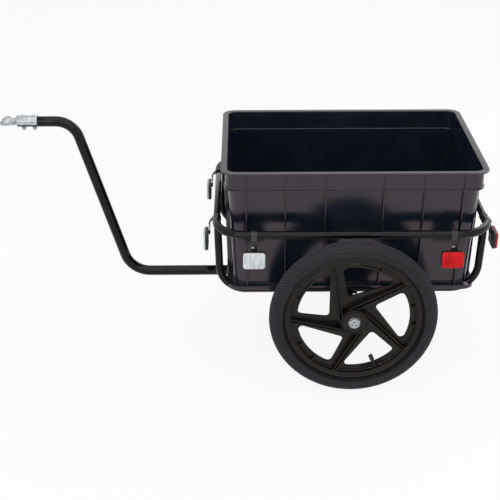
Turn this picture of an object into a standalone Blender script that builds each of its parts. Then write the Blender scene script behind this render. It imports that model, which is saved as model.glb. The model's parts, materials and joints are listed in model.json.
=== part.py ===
"""Scooter trailer: a lift-out tub in a tube frame on two moulded wheels, with a bent drawbar.

Metres, +Z up, with the tyres standing on Z = 0. The drawbar points to -X, so left is -Y.
Places along X are measured from the wheel axle. The root empty then moves the whole trailer so
that the origin is under the middle of its overall length.
"""
import bmesh
import bpy
from math import acos, cos, pi, radians, sin, sqrt, tan
from mathutils import Matrix, Vector

# Clearance between pieces that touch
GAP = 0.0003

# Tub: rim, collar, wall, ribs and plinth
BOX_MIDDLE_X = -0.0010
BOX_HALF_LENGTH = 0.3037
BOX_HALF_WIDTH = 0.2153
BOX_HEIGHT = 0.3000
BOX_CORNER = 0.031
COLLAR_CORNER = 0.026
WALL_CORNER = 0.027
INNER_CORNER = 0.020
BOX_LIP = 0.0032
BOX_LAND = 0.0140
BOX_WALL = 0.0036
BOX_EDGE_ROUND = 0.0006
COLLAR_INSET = 0.0100
COLLAR_RIB_INSET = 0.0074
COLLAR_HEIGHT = 0.0427
STEP_FLANGE_INSET = 0.0065
STEP_FLANGE_THICKNESS = 0.0030
WALL_INSET_TOP = 0.0160
WALL_INSET_FOOT = 0.0268
PLINTH_INSET = 0.0105
PLINTH_HEIGHT = 0.0098
FLOOR_FILLET = 0.0038
RIB_INSET_TOP = 0.0070
RIB_INSET_FOOT = 0.0135
RIB_THICKNESS = 0.0024
RIB_BITE = 0.0020
SIDE_RIB_TOPS = (0.0660, 0.1580, 0.2470)
SIDE_RIB_FEET = (0.0640, 0.1550, 0.2440)
END_RIBS = (0.0470, 0.1400)
SLOT_CLEARANCE = 0.0010

# Upper ring: two side rails with bent ends and two end bars pushed into them
FRAME_MIDDLE_X = -0.0025
RING_RISE = 0.1675
RING_END_SPACE = 0.0101
RING_SIDE_SPACE = 0.0181
RING_BEND = 0.072
RAIL_RADIUS = 0.0098
RAIL_WALL = 0.0009
RAIL_END_INSET = 0.0834
BAR_RADIUS = 0.00825
BAR_WALL = 0.0012
BAR_OVERLAP = 0.010

# Hoops under the tub, with cross tubes between them
HOOP_INSET = 0.0544
HOOP_RISE = 0.0252
HOOP_RADIUS = 0.009
HOOP_WALL = 0.0012
HOOP_FRONT_TOP_SETBACK = 0.0028
HOOP_FRONT_FOOT_SETBACK = 0.0068
HOOP_REAR_FOOT_SETBACK = 0.0123
HOOP_REAR_TOP_SETBACK = 0.0068
HOOP_BEND = 0.062
HOOP_LEG_BITE = 0.0050
CROSS_TUBE_RADIUS = 0.008
FRONT_CROSS_SETBACK = 0.0843
REAR_CROSS_X = -0.062

# Wheels
WHEEL_OFFSET = 0.0405
TYRE_RADIUS = 0.196
TYRE_SECTION = 0.02225
TYRE_CASING = 0.004
BEAD_FOOT_DEPTH = 0.0458
BEAD_TOP_DEPTH = 0.0332
RIM_FLANGE_DEPTH = 0.0337
RIM_BAND_DEPTH = 0.0510
RIM_HALF_WIDTH = 0.0134
RIM_CHANNEL_HALF_WIDTH = 0.0110
RIM_BED_DEPTH = 0.0470
WEB_HALF_THICKNESS = 0.0032
HUB_RADIUS = 0.031
HUB_HALF_WIDTH = 0.0266
HUB_BORE = 0.015
BEARING_RADIUS = 0.0175
BEARING_WIDTH = 0.010
BEARING_RECESS = 0.0006
BEARING_BORE = 0.0083
SPACER_RADIUS = 0.0105
TUBE_SKIN_SHARE = 0.86
TUBE_CLEARANCE = 0.0005
VALVE_ANGLE = radians(-67)
VALVE_TIP_RADIUS = 0.113
VALVE_STEM_RADIUS = 0.0032
VALVE_BORE_RADIUS = 0.0012
VALVE_SLOT_RADIUS = 0.0036

# Five windows, five spoke ridges and ten gussets in each rim
SPOKES = 5
WINDOW_FIRST_ANGLE = radians(174.8)
WINDOW_SWEEP = radians(59.4)
WINDOW_INNER_LEAD = radians(2.4)
WINDOW_INNER_RADIUS = 0.0564
WINDOW_OUTER_BAND = 0.0140
WINDOW_ARC_STEPS = 5
WINDOW_CORNER = 0.009
RIDGE_FIRST_ANGLE = radians(108)
RIDGE_OFFSET = 0.027
RIDGE_HALF_THICKNESS = 0.0026
RIDGE_RIM_HEIGHT = 0.0130
RIDGE_HUB_HEIGHT = 0.0240
GUSSET_MIDDLE_ANGLE = radians(3)
GUSSET_SPREAD = radians(10)
GUSSET_LENGTH = 0.0090
GUSSET_HEIGHT = 0.0105
GUSSET_HALF_THICKNESS = 0.0011

# Cross axle, its nuts and the stirrups that hang it under the hoops
AXLE_RADIUS = 0.008
AXLE_SHOULDER_RADIUS = 0.0102
NUT_ACROSS_FLATS = 0.024
NUT_THICKNESS = 0.0070
NUT_FACE = 0.0020
STIRRUP_HALF_WIDTH = 0.0167
STIRRUP_STRAP = 0.0021
STIRRUP_HALF_DEPTH = 0.007
STIRRUP_TOP_DROP = 0.0062
STIRRUP_PLATE = 0.0055
STIRRUP_POST = 0.0062
STIRRUP_ARC_STEPS = 8
EYE_RADIUS = 0.0102

# Drawbar
DRAWBAR_RADIUS = 0.0125
DRAWBAR_WALL = 0.0016
DRAWBAR_HANG = 0.0438
DRAWBAR_HIGH = 0.5798
DRAWBAR_REAR_X = -0.042
DRAWBAR_FRONT_X = -0.7891
DRAWBAR_LOW_CORNER_X = -0.5399
DRAWBAR_HIGH_CORNER_X = -0.6593
DRAWBAR_LOW_BEND = 0.065
DRAWBAR_HIGH_BEND = 0.056
HANGER_HALF_LENGTH = 0.012
HANGER_HALF_WIDTH = 0.0165
HANGER_BITE = 0.0040
PLUG_FLANGE_RADIUS = 0.0122
PLUG_FLANGE = 0.0020
PLUG_SHANK_RADIUS = 0.0100
PLUG_DEPTH = 0.0075

# Ball coupling: a pressing with a cup, a neck and a saddle over the drawbar
CUP_REACH = 0.0254
CUP_RADIUS = 0.015
PRESSING_THICKNESS = 0.0016
FLANGE_DROP = 0.0017
SADDLE_RADIUS = 0.0145
SADDLE_OVERHANG = 0.0007
SADDLE_LENGTH = 0.0463
NECK_RADIUS = 0.0101
COUPLING_TIP_REACH = 0.0190
TIP_HALF_WIDTH = 0.0080
NOSE_HALF_WIDTH = 0.0130
NOSE_LENGTH = 0.0015
CUP_STATIONS = ((-0.0147, 0.0150), (-0.0125, 0.0170), (-0.0085, 0.0185), (-0.0040, 0.0193),
                (0.0, 0.0195), (0.0040, 0.0192), (0.0075, 0.0183))
NECK_HALF_WIDTHS = (0.0165, 0.0155)
NECK_REAR_SHIFT = 0.0030
SADDLE_NOSE_LENGTH = 0.0032
SADDLE_NOSE_HALF_WIDTH = 0.0185
SADDLE_HALF_WIDTH = 0.0220
ARCH_STEPS = 8
COUPLING_BOLT_SETBACKS = (0.0123, 0.0378)
COUPLING_BOLT_RADIUS = 0.003
COUPLING_HEAD_RADIUS = 0.0056
COUPLING_HEAD_TOP_RADIUS = 0.0045
COUPLING_HEAD_HEIGHT = 0.0020
COUPLING_BOLT_DROP = 0.0211
COUPLING_NUT_ACROSS_FLATS = 0.010
COUPLING_NUT_HEIGHT = 0.005

# Jaw that closes behind and under the ball
JAW_PIVOT_RISE = 0.0034
JAW_HALF_WIDTH = 0.004
JAW_REACH = 0.0128
JAW_FACE_ANGLES = (radians(-5), radians(-16), radians(-28))
JAW_TOP = ((0.0033, -0.0045), (0.0031, 0.0010), (0.0, 0.0032), (-0.0030, 0.0010))
JAW_FOOT_X = 0.0015
JAW_PIN_RADIUS = 0.0018
JAW_PIN_HALF_LENGTH = 0.0112
JAW_PIN_HOLE = 0.0021

# Reflectors on clip brackets
REFLECTOR_DROP = 0.0500
REFLECTOR_WIDTH = 0.053
REFLECTOR_HEIGHT = 0.042
REFLECTOR_DEPTH = 0.0105
REFLECTOR_CORNER = 0.008
REFLECTOR_BORDER = 0.0022
LENS_THICKNESS = 0.0026
LENS_PROUD = 0.0010
CLIP_WIDTH = 0.014
CLIP_THICKNESS = 0.0015
TAB_LENGTH = 0.040
TAB_PROUD = 0.0004
TAB_THICKNESS = 0.0018
TAB_LEAN = 0.0070
TAB_LEAN_DROP = 0.0070
SCREW_RADIUS = 0.0034
SCREW_HEIGHT = 0.0020
SCREW_DROP = 0.0120
BOSS_RADIUS = 0.0050
BOSS_HEIGHT = 0.0025
BOSS_DROP = 0.0355
SIDE_REFLECTOR_SETBACK = 0.0863
END_REFLECTOR_INSET = 0.0090
END_REFLECTOR_SHIFT = 0.0050

# Facets: sides of a tube, steps of a bend, segments of a wheel and of small round pieces
TUBE_SIDES = 12
BEND_STEPS = 4
WHEEL_SEGMENTS = 36
SMALL_SEGMENTS = 16
SCREW_SEGMENTS = 8

# Places worked out from the sizes above
AXLE_HEIGHT = TYRE_RADIUS
HOOP_HEIGHT = AXLE_HEIGHT + HOOP_RISE
HOOP_TOP = HOOP_HEIGHT + HOOP_RADIUS
STIRRUP_TOP = HOOP_HEIGHT - STIRRUP_TOP_DROP
RING_HEIGHT = HOOP_HEIGHT + RING_RISE
DRAWBAR_LOW = HOOP_HEIGHT - DRAWBAR_HANG
BOX_TOP = HOOP_TOP + GAP + BOX_HEIGHT
COLLAR_FOOT = BOX_TOP - COLLAR_HEIGHT
RING_HALF_LENGTH = BOX_HALF_LENGTH + RING_END_SPACE
RING_HALF_WIDTH = BOX_HALF_WIDTH + RING_SIDE_SPACE
RAIL_END_Y = RING_HALF_WIDTH - RAIL_END_INSET
END_REFLECTOR_Y = RAIL_END_Y - END_REFLECTOR_INSET
HOOP_Y = RING_HALF_WIDTH - HOOP_INSET
WHEEL_Y = RING_HALF_WIDTH + WHEEL_OFFSET
FRONT_BAR_X = FRAME_MIDDLE_X - RING_HALF_LENGTH
REAR_BAR_X = FRAME_MIDDLE_X + RING_HALF_LENGTH
HOOP_FRONT_TOP_X = FRONT_BAR_X + HOOP_FRONT_TOP_SETBACK
HOOP_FRONT_FOOT_X = FRONT_BAR_X + HOOP_FRONT_FOOT_SETBACK
HOOP_REAR_FOOT_X = REAR_BAR_X - HOOP_REAR_FOOT_SETBACK
HOOP_REAR_TOP_X = REAR_BAR_X - HOOP_REAR_TOP_SETBACK
FRONT_CROSS_X = FRONT_BAR_X + FRONT_CROSS_SETBACK
SIDE_WHITE_X = FRONT_BAR_X + SIDE_REFLECTOR_SETBACK
SIDE_RED_X = REAR_BAR_X - SIDE_REFLECTOR_SETBACK
BEAD_FOOT_RADIUS = TYRE_RADIUS - BEAD_FOOT_DEPTH
BEAD_TOP_RADIUS = TYRE_RADIUS - BEAD_TOP_DEPTH
RIM_FLANGE_RADIUS = TYRE_RADIUS - RIM_FLANGE_DEPTH
RIM_BAND_RADIUS = TYRE_RADIUS - RIM_BAND_DEPTH
RIM_BED_RADIUS = TYRE_RADIUS - RIM_BED_DEPTH
WINDOW_OUTER_RADIUS = RIM_BAND_RADIUS - WINDOW_OUTER_BAND
GUSSET_INNER_RADIUS = RIM_BAND_RADIUS - GUSSET_LENGTH
CUP_X = DRAWBAR_FRONT_X - CUP_REACH
COUPLING_TIP_X = CUP_X - COUPLING_TIP_REACH
FLANGE_TOP = DRAWBAR_HIGH - FLANGE_DROP
SADDLE_FRONT_X = DRAWBAR_FRONT_X - SADDLE_OVERHANG
SADDLE_REAR_X = SADDLE_FRONT_X + SADDLE_LENGTH
COUPLING_BOLT_XS = [DRAWBAR_FRONT_X + setback for setback in COUPLING_BOLT_SETBACKS]
COUPLING_BOLT_FOOT = DRAWBAR_HIGH - COUPLING_BOLT_DROP
JAW_PIVOT_X = CUP_X + CUP_RADIUS
JAW_PIVOT_Z = FLANGE_TOP + JAW_PIVOT_RISE
BEARING_OUTER_FACE = HUB_HALF_WIDTH - BEARING_RECESS
BEARING_INNER_FACE = BEARING_OUTER_FACE - BEARING_WIDTH
BAR_CLIP_RADIUS = (BAR_RADIUS + GAP + CLIP_THICKNESS) / cos(pi / TUBE_SIDES)
RAIL_CLIP_RADIUS = (RAIL_RADIUS + GAP + CLIP_THICKNESS) / cos(pi / TUBE_SIDES)
REFLECTOR_REACH = TAB_PROUD + TAB_LEAN + GAP + BOSS_HEIGHT + REFLECTOR_DEPTH + LENS_PROUD
REAR_TIP_X = REAR_BAR_X + BAR_CLIP_RADIUS + REFLECTOR_REACH
OVERALL_MIDDLE_X = (COUPLING_TIP_X + REAR_TIP_X) / 2


# General helpers

def clear_scene():
    """Remove whatever the file opened with."""
    for item in list(bpy.data.objects):
        bpy.data.objects.remove(item, do_unlink=True)


def make_material(name, colour, roughness, metallic=0.0):
    """A Principled material from an sRGB hex colour."""
    material = bpy.data.materials.new(name)
    material.use_nodes = True
    shader = material.node_tree.nodes["Principled BSDF"]
    channels = [int(colour[i:i + 2], 16) / 255 for i in (0, 2, 4)]
    linear = [c / 12.92 if c <= 0.04045 else ((c + 0.055) / 1.055) ** 2.4 for c in channels]
    shader.inputs["Base Color"].default_value = (*linear, 1.0)
    shader.inputs["Roughness"].default_value = roughness
    shader.inputs["Metallic"].default_value = metallic
    material.diffuse_color = (*linear, 1.0)
    return material


def make_empty(name, place, parent=None):
    """A bare axis that pieces hang on."""
    empty = bpy.data.objects.new(name, None)
    bpy.context.scene.collection.objects.link(empty)
    empty.location = place
    empty.parent = parent
    return empty


def add_object(name, bm, parent, place=(0, 0, 0), turn=0.0, material=None):
    """Turn a bmesh into a named object with its faces outward and its round faces smooth."""
    bmesh.ops.recalc_face_normals(bm, faces=bm.faces)
    mesh = bpy.data.meshes.new(name)
    bm.to_mesh(mesh)
    bm.free()
    mesh.shade_smooth()
    mesh.set_sharp_from_angle(angle=radians(35))
    if material:
        mesh.materials.append(material)
    item = bpy.data.objects.new(name, mesh)
    bpy.context.scene.collection.objects.link(item)
    item.parent = parent
    item.location = place
    item.rotation_euler = (0, 0, turn)
    return item


def combine(item, operation, name, bm, place=(0, 0, 0), turn=0.0):
    """Cut a shape out of an object or join it on, and keep the shape as a hidden wire guide."""
    other = add_object(name, bm, item.parent, place, turn)
    other.hide_render = True
    other.display_type = "WIRE"
    step = item.modifiers.new(name, "BOOLEAN")
    step.operation = operation
    step.solver = "EXACT"
    step.object = other
    return other


def make_loft(loops):
    """Skin a list of equal loops of points and cap both ends."""
    bm = bmesh.new()
    rings = [[bm.verts.new(point) for point in loop] for loop in loops]
    count = len(rings[0])
    for low, high in zip(rings[:-1], rings[1:]):
        for i in range(count):
            j = (i + 1) % count
            bm.faces.new((low[i], low[j], high[j], high[i]))
    bm.faces.new(rings[0])
    bm.faces.new(rings[-1])
    return bm


def circle_loop(along, value, radius, place=(0, 0, 0), segments=SMALL_SEGMENTS):
    """Points of a circle at one coordinate of an axis letter, centred on a place."""
    points = []
    for i in range(segments):
        angle = 2 * pi * (i + 0.5) / segments
        across = radius * cos(angle)
        up = radius * sin(angle)
        if along == "X":
            points.append((value, place[1] + across, place[2] + up))
        elif along == "Y":
            points.append((place[0] + across, value, place[2] + up))
        else:
            points.append((place[0] + across, place[1] + up, value))
    return points


def make_rod(along, stations, place=(0, 0, 0), segments=SMALL_SEGMENTS):
    """A solid round rod along an axis letter from (coordinate, radius) stations."""
    return make_loft([circle_loop(along, value, radius, place, segments) for value, radius in stations])


def make_block(low, high):
    """A rectangular block between two corners."""
    bm = bmesh.new()
    bmesh.ops.create_cube(bm, size=1.0)
    bmesh.ops.scale(bm, vec=[b - a for a, b in zip(low, high)], verts=bm.verts)
    bmesh.ops.translate(bm, vec=[(a + b) / 2 for a, b in zip(low, high)], verts=bm.verts)
    return bm


def add_prism(bm, outline, low, high):
    """Extrude a flat outline of (x, z) points from one Y to another."""
    face = bm.faces.new([bm.verts.new((x, low, z)) for x, z in outline])
    grown = bmesh.ops.extrude_face_region(bm, geom=[face])
    tops = [item for item in grown["geom"] if isinstance(item, bmesh.types.BMVert)]
    bmesh.ops.translate(bm, vec=(0, high - low, 0), verts=tops)


def make_prism(outline, low, high):
    """One extruded outline of (x, z) points as a shape of its own."""
    bm = bmesh.new()
    add_prism(bm, outline, low, high)
    return bm


def make_turned(profile, segments=WHEEL_SEGMENTS):
    """Spin a closed profile of (radius, y) points once round the Y axis."""
    bm = bmesh.new()
    points = [bm.verts.new((radius, y, 0)) for radius, y in profile]
    edges = [bm.edges.new((a, b)) for a, b in zip(points, points[1:] + points[:1])]
    bmesh.ops.spin(bm, geom=points + edges, cent=(0, 0, 0), axis=(0, 1, 0), angle=2 * pi,
                   steps=segments, use_merge=True)
    return bm


def round_corners(corners, radii, steps=3):
    """Outline or route with each corner replaced by an arc of its radius; 0 keeps the corner."""
    points = []
    count = len(corners)
    for i, (corner, radius) in enumerate(zip(corners, radii)):
        here = Vector(corner)
        if radius == 0:
            points.append(here)
            continue
        before = (Vector(corners[i - 1]) - here).normalized()
        after = (Vector(corners[(i + 1) % count]) - here).normalized()
        half_angle = before.angle(after) / 2
        centre = here + (before + after).normalized() * radius / sin(half_angle)
        start = here + before * radius / tan(half_angle) - centre
        end = here + after * radius / tan(half_angle) - centre
        sweep = pi - 2 * half_angle
        for step in range(steps + 1):
            part = step / steps
            blend = start * sin((1 - part) * sweep) + end * sin(part * sweep)
            points.append(centre + blend / sin(sweep))
    return points


def rounded_rectangle(half_across, half_up, corner, steps=3):
    """A rounded rectangle of 2-D points round the origin."""
    corners = [(half_across, half_up), (-half_across, half_up), (-half_across, -half_up),
               (half_across, -half_up)]
    return round_corners(corners, [corner] * 4, steps)


def bend_route(corners, radii):
    """Route of a bent tube: end points kept, inner corners bent to their radii."""
    return round_corners(corners, [0, *radii, 0], BEND_STEPS)


def make_tube(route, radius):
    """A bmesh of the outside of a round tube along a route, with open ends."""
    curve = bpy.data.curves.new("route", "CURVE")
    curve.dimensions = "3D"
    curve.bevel_depth = radius
    curve.bevel_resolution = TUBE_SIDES // 2 - 2
    spline = curve.splines.new("POLY")
    spline.points.add(len(route) - 1)
    for point, place in zip(spline.points, route):
        point.co = (*place, 1.0)
    holder = bpy.data.objects.new("route", curve)
    bpy.context.scene.collection.objects.link(holder)
    depsgraph = bpy.context.evaluated_depsgraph_get()
    mesh = bpy.data.meshes.new_from_object(holder.evaluated_get(depsgraph))
    bpy.data.objects.remove(holder, do_unlink=True)
    bm = bmesh.new()
    bm.from_mesh(mesh)
    bpy.data.meshes.remove(mesh)
    return bm


def make_bar(route, radius):
    """A solid round bar along a route: a tube with its ends filled."""
    bm = make_tube(route, radius)
    bmesh.ops.holes_fill(bm, edges=[edge for edge in bm.edges if edge.is_boundary], sides=TUBE_SIDES)
    return bm


def add_tube_shape(bm, route, radius):
    """Add a solid round bar along a route to a bmesh that holds several."""
    bar = make_bar(route, radius)
    mesh = bpy.data.meshes.new("bar")
    bar.to_mesh(mesh)
    bar.free()
    bm.from_mesh(mesh)
    bpy.data.meshes.remove(mesh)


def add_tube(name, route, radius, wall, parent, material):
    """A hollow tube with open ends."""
    item = add_object(name, make_tube(route, radius), parent, material=material)
    skin = item.modifiers.new("Wall", "SOLIDIFY")
    skin.thickness = wall
    skin.offset = -1
    skin.use_even_offset = True
    return item


# Tub

def box_loop(inset, corner, z):
    """Level loop of the tub at an inset from its rim."""
    outline = rounded_rectangle(BOX_HALF_LENGTH - inset, BOX_HALF_WIDTH - inset, corner)
    return [(x, y, z) for x, y in outline]


def add_rib(bm, middles, half_size, insets, heights, place_of):
    """One fin on a tub wall, from its root in the wall to its outer edge, foot first."""
    corners = []
    for middle, (root_inset, edge_inset), z in zip(middles, insets, heights):
        for shift in (-RIB_THICKNESS / 2, RIB_THICKNESS / 2):
            for reach in (half_size - root_inset - RIB_BITE, half_size - edge_inset):
                corners.append(bm.verts.new(place_of(middle + shift, reach, z)))
    a, b, c, d, e, f, g, h = corners
    for face in ((a, b, d, c), (e, g, h, f), (a, e, f, b), (c, d, h, g), (b, f, h, d), (a, c, g, e)):
        bm.faces.new(face)


def make_ribs(side_feet, insets, heights):
    """One storey of ribs: three each side of the middle on the long walls, two on the ends."""
    bm = bmesh.new()
    for wall in (-1, 1):
        for side in (-1, 1):
            for foot, top in zip(side_feet, SIDE_RIB_TOPS):
                add_rib(bm, (side * foot, side * top), BOX_HALF_WIDTH, insets, heights,
                        lambda along, reach, z: (along, wall * reach, z))
            for rib in END_RIBS:
                add_rib(bm, (side * rib, side * rib), BOX_HALF_LENGTH, insets, heights,
                        lambda along, reach, z: (wall * reach, along, z))
    return bm


def slot_shapes(side):
    """What clears one hoop at both ends of the tub: its bend, and all of the plinth below it."""
    y = side * HOOP_Y
    half_width = HOOP_RADIUS + SLOT_CLEARANCE
    low = HOOP_HEIGHT - 2 * HOOP_RADIUS
    bm = bmesh.new()
    for bend in hoop_bends(side):
        far_x = bend[0][0]
        outline = [(point[0], point[2]) for point in bend] + [(bend[-1][0], low), (far_x, low)]
        add_prism(bm, outline, y - half_width, y + half_width)
    return bm


def build_box(root, material):
    """The tub: level loops up the outside and down the inside, then ribs and hoop slots."""
    foot = HOOP_TOP + GAP
    plinth_top = foot + PLINTH_HEIGHT
    floor_top = foot + BOX_WALL
    step_foot = COLLAR_FOOT - STEP_FLANGE_THICKNESS
    lip_foot = BOX_TOP - BOX_LIP
    inner_foot_inset = WALL_INSET_FOOT + BOX_WALL
    loops = [
        box_loop(PLINTH_INSET, BOX_CORNER, foot),
        box_loop(PLINTH_INSET, BOX_CORNER, plinth_top),
        box_loop(WALL_INSET_FOOT, WALL_CORNER, plinth_top + BOX_EDGE_ROUND),
        box_loop(WALL_INSET_TOP, WALL_CORNER, step_foot),
        box_loop(STEP_FLANGE_INSET, BOX_CORNER, step_foot),
        box_loop(STEP_FLANGE_INSET, BOX_CORNER, COLLAR_FOOT),
        box_loop(COLLAR_INSET, COLLAR_CORNER, COLLAR_FOOT),
        box_loop(COLLAR_INSET, COLLAR_CORNER, lip_foot),
        box_loop(0.0, BOX_CORNER, lip_foot),
        box_loop(0.0, BOX_CORNER, BOX_TOP - BOX_EDGE_ROUND),
        box_loop(BOX_EDGE_ROUND, BOX_CORNER, BOX_TOP),
        box_loop(BOX_LAND, INNER_CORNER, BOX_TOP),
        box_loop(BOX_LAND, INNER_CORNER, COLLAR_FOOT),
        box_loop(WALL_INSET_TOP + BOX_WALL, INNER_CORNER, step_foot),
        box_loop(inner_foot_inset, INNER_CORNER, floor_top + FLOOR_FILLET),
        box_loop(inner_foot_inset + FLOOR_FILLET, INNER_CORNER, floor_top),
    ]
    middle = (BOX_MIDDLE_X, 0, 0)
    box = add_object("cargo_box", make_loft(loops), root, middle, material=material)
    wall_insets = ((WALL_INSET_FOOT, RIB_INSET_FOOT), (WALL_INSET_TOP, RIB_INSET_TOP))
    wall_heights = (plinth_top - BOX_EDGE_ROUND, step_foot + BOX_EDGE_ROUND)
    combine(box, "UNION", "wall ribs", make_ribs(SIDE_RIB_FEET, wall_insets, wall_heights), middle)
    collar_insets = ((COLLAR_INSET, COLLAR_RIB_INSET), (COLLAR_INSET, COLLAR_RIB_INSET))
    collar_heights = (COLLAR_FOOT - BOX_EDGE_ROUND, lip_foot + BOX_EDGE_ROUND)
    combine(box, "UNION", "collar ribs", make_ribs(SIDE_RIB_TOPS, collar_insets, collar_heights), middle)

    clip_low = foot + BOX_WALL / 2
    clip_high = HOOP_HEIGHT + HOOP_BEND + HOOP_RADIUS
    rise = (clip_high - plinth_top) / (step_foot - plinth_top)
    clip_inset = WALL_INSET_FOOT + (WALL_INSET_TOP - WALL_INSET_FOOT) * rise
    for side, word in ((-1, "left"), (1, "right")):
        tunnels = bmesh.new()
        bosses = bmesh.new()
        for bend in hoop_bends(side):
            for bm, radius in ((tunnels, HOOP_RADIUS + SLOT_CLEARANCE),
                               (bosses, HOOP_RADIUS + SLOT_CLEARANCE + BOX_WALL)):
                add_tube_shape(bm, bend, radius)
        boss = combine(box, "UNION", word + " slot bosses", bosses)
        clip = [box_loop(WALL_INSET_FOOT + BOX_WALL / 2, WALL_CORNER, clip_low),
                box_loop(clip_inset + BOX_WALL / 2, WALL_CORNER, clip_high)]
        combine(boss, "INTERSECT", word + " slot boss limit", make_loft(clip), middle)
        combine(box, "DIFFERENCE", word + " hoop tunnels", tunnels)
        combine(box, "DIFFERENCE", word + " plinth slots", slot_shapes(side))


# Frame

def rail_route(side):
    """Route of a side rail: along the side, with a bend into the front and the rear."""
    y = side * RING_HALF_WIDTH
    end_y = side * RAIL_END_Y
    corners = [(FRONT_BAR_X, end_y, RING_HEIGHT), (FRONT_BAR_X, y, RING_HEIGHT),
               (REAR_BAR_X, y, RING_HEIGHT), (REAR_BAR_X, end_y, RING_HEIGHT)]
    return bend_route(corners, [RING_BEND, RING_BEND])


def hoop_route(side):
    """Route of a hoop: down from under a rail, along under the tub and up again."""
    y = side * HOOP_Y
    top = RING_HEIGHT - HOOP_LEG_BITE
    corners = [(HOOP_FRONT_TOP_X, y, top), (HOOP_FRONT_FOOT_X, y, HOOP_HEIGHT),
               (HOOP_REAR_FOOT_X, y, HOOP_HEIGHT), (HOOP_REAR_TOP_X, y, top)]
    return bend_route(corners, [HOOP_BEND, HOOP_BEND])


def hoop_bends(side):
    """The front and the rear bend of a hoop, each from the leg down to the straight run."""
    route = hoop_route(side)
    bend_points = BEND_STEPS + 1
    return route[1:1 + bend_points], route[:-1][:-1 - bend_points:-1]


def build_frame(root, paint, bare):
    """Ring, hoops and cross tubes. The hoop legs are coped to the rails they end under."""
    for side, word in ((-1, "left"), (1, "right")):
        add_tube(word + "_rail", rail_route(side), RAIL_RADIUS, RAIL_WALL, root, paint)
        hoop = add_tube(word + "_hoop", hoop_route(side), HOOP_RADIUS, HOOP_WALL, root, paint)
        cope = make_bar(rail_route(side), RAIL_RADIUS + GAP)
        combine(hoop, "DIFFERENCE", word + " rail cope", cope)
    reach = RAIL_END_Y + BAR_OVERLAP
    for x, name in ((FRONT_BAR_X, "front_bar"), (REAR_BAR_X, "rear_bar")):
        route = [(x, -reach, RING_HEIGHT), (x, reach, RING_HEIGHT)]
        add_tube(name, route, BAR_RADIUS, BAR_WALL, root, bare)
    for x, name in ((FRONT_CROSS_X, "front_cross_tube"), (REAR_CROSS_X, "rear_cross_tube")):
        route = [(x, -HOOP_Y, HOOP_HEIGHT), (x, HOOP_Y, HOOP_HEIGHT)]
        tube = add_tube(name, route, CROSS_TUBE_RADIUS, HOOP_WALL, root, paint)
        for side, word in ((-1, "left"), (1, "right")):
            reach_x = 2 * CROSS_TUBE_RADIUS
            stations = [(x - reach_x, HOOP_RADIUS + GAP), (x + reach_x, HOOP_RADIUS + GAP)]
            cope = make_rod("X", stations, (0, side * HOOP_Y, HOOP_HEIGHT))
            combine(tube, "DIFFERENCE", name + " " + word + " cope", cope)


def build_stirrup(root, side, word, paint):
    """Closed stirrup under a hoop, with a post down to the eye that holds the axle."""
    y = side * HOOP_Y
    low = y - STIRRUP_HALF_DEPTH
    high = y + STIRRUP_HALF_DEPTH
    half = STIRRUP_HALF_WIDTH
    turns = [pi * i / STIRRUP_ARC_STEPS for i in range(STIRRUP_ARC_STEPS + 1)]
    arc = [(-half * cos(turn), AXLE_HEIGHT - half * sin(turn)) for turn in turns]
    outline = [(half, STIRRUP_TOP), (-half, STIRRUP_TOP), *arc]
    plate = add_object(word + "_axle_stirrup", make_prism(outline, low, high), root, material=paint)
    inner = half - STIRRUP_STRAP
    windows = bmesh.new()
    for hand in (-1, 1):
        curve = [(hand * inner * cos(turn / 2), AXLE_HEIGHT - inner * sin(turn / 2))
                 for turn in turns if inner * cos(turn / 2) > STIRRUP_POST]
        foot = (hand * STIRRUP_POST, AXLE_HEIGHT - sqrt(inner ** 2 - STIRRUP_POST ** 2))
        corner_z = STIRRUP_TOP - STIRRUP_PLATE
        corners = [(hand * STIRRUP_POST, corner_z), (hand * inner, corner_z), *curve, foot]
        add_prism(windows, corners, low - STIRRUP_PLATE, high + STIRRUP_PLATE)
    combine(plate, "DIFFERENCE", word + " stirrup windows", windows)
    centre = (0, 0, AXLE_HEIGHT)
    eye = make_rod("Y", [(low, EYE_RADIUS), (high, EYE_RADIUS)], centre)
    combine(plate, "UNION", word + " stirrup eye", eye)
    bore = make_rod("Y", [(low - STIRRUP_PLATE, BEARING_BORE), (high + STIRRUP_PLATE, BEARING_BORE)], centre)
    combine(plate, "DIFFERENCE", word + " stirrup bore", bore)
    groove = [(-2 * half, HOOP_RADIUS + GAP), (2 * half, HOOP_RADIUS + GAP)]
    combine(plate, "DIFFERENCE", word + " stirrup groove", make_rod("X", groove, (0, y, HOOP_HEIGHT)))


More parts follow.
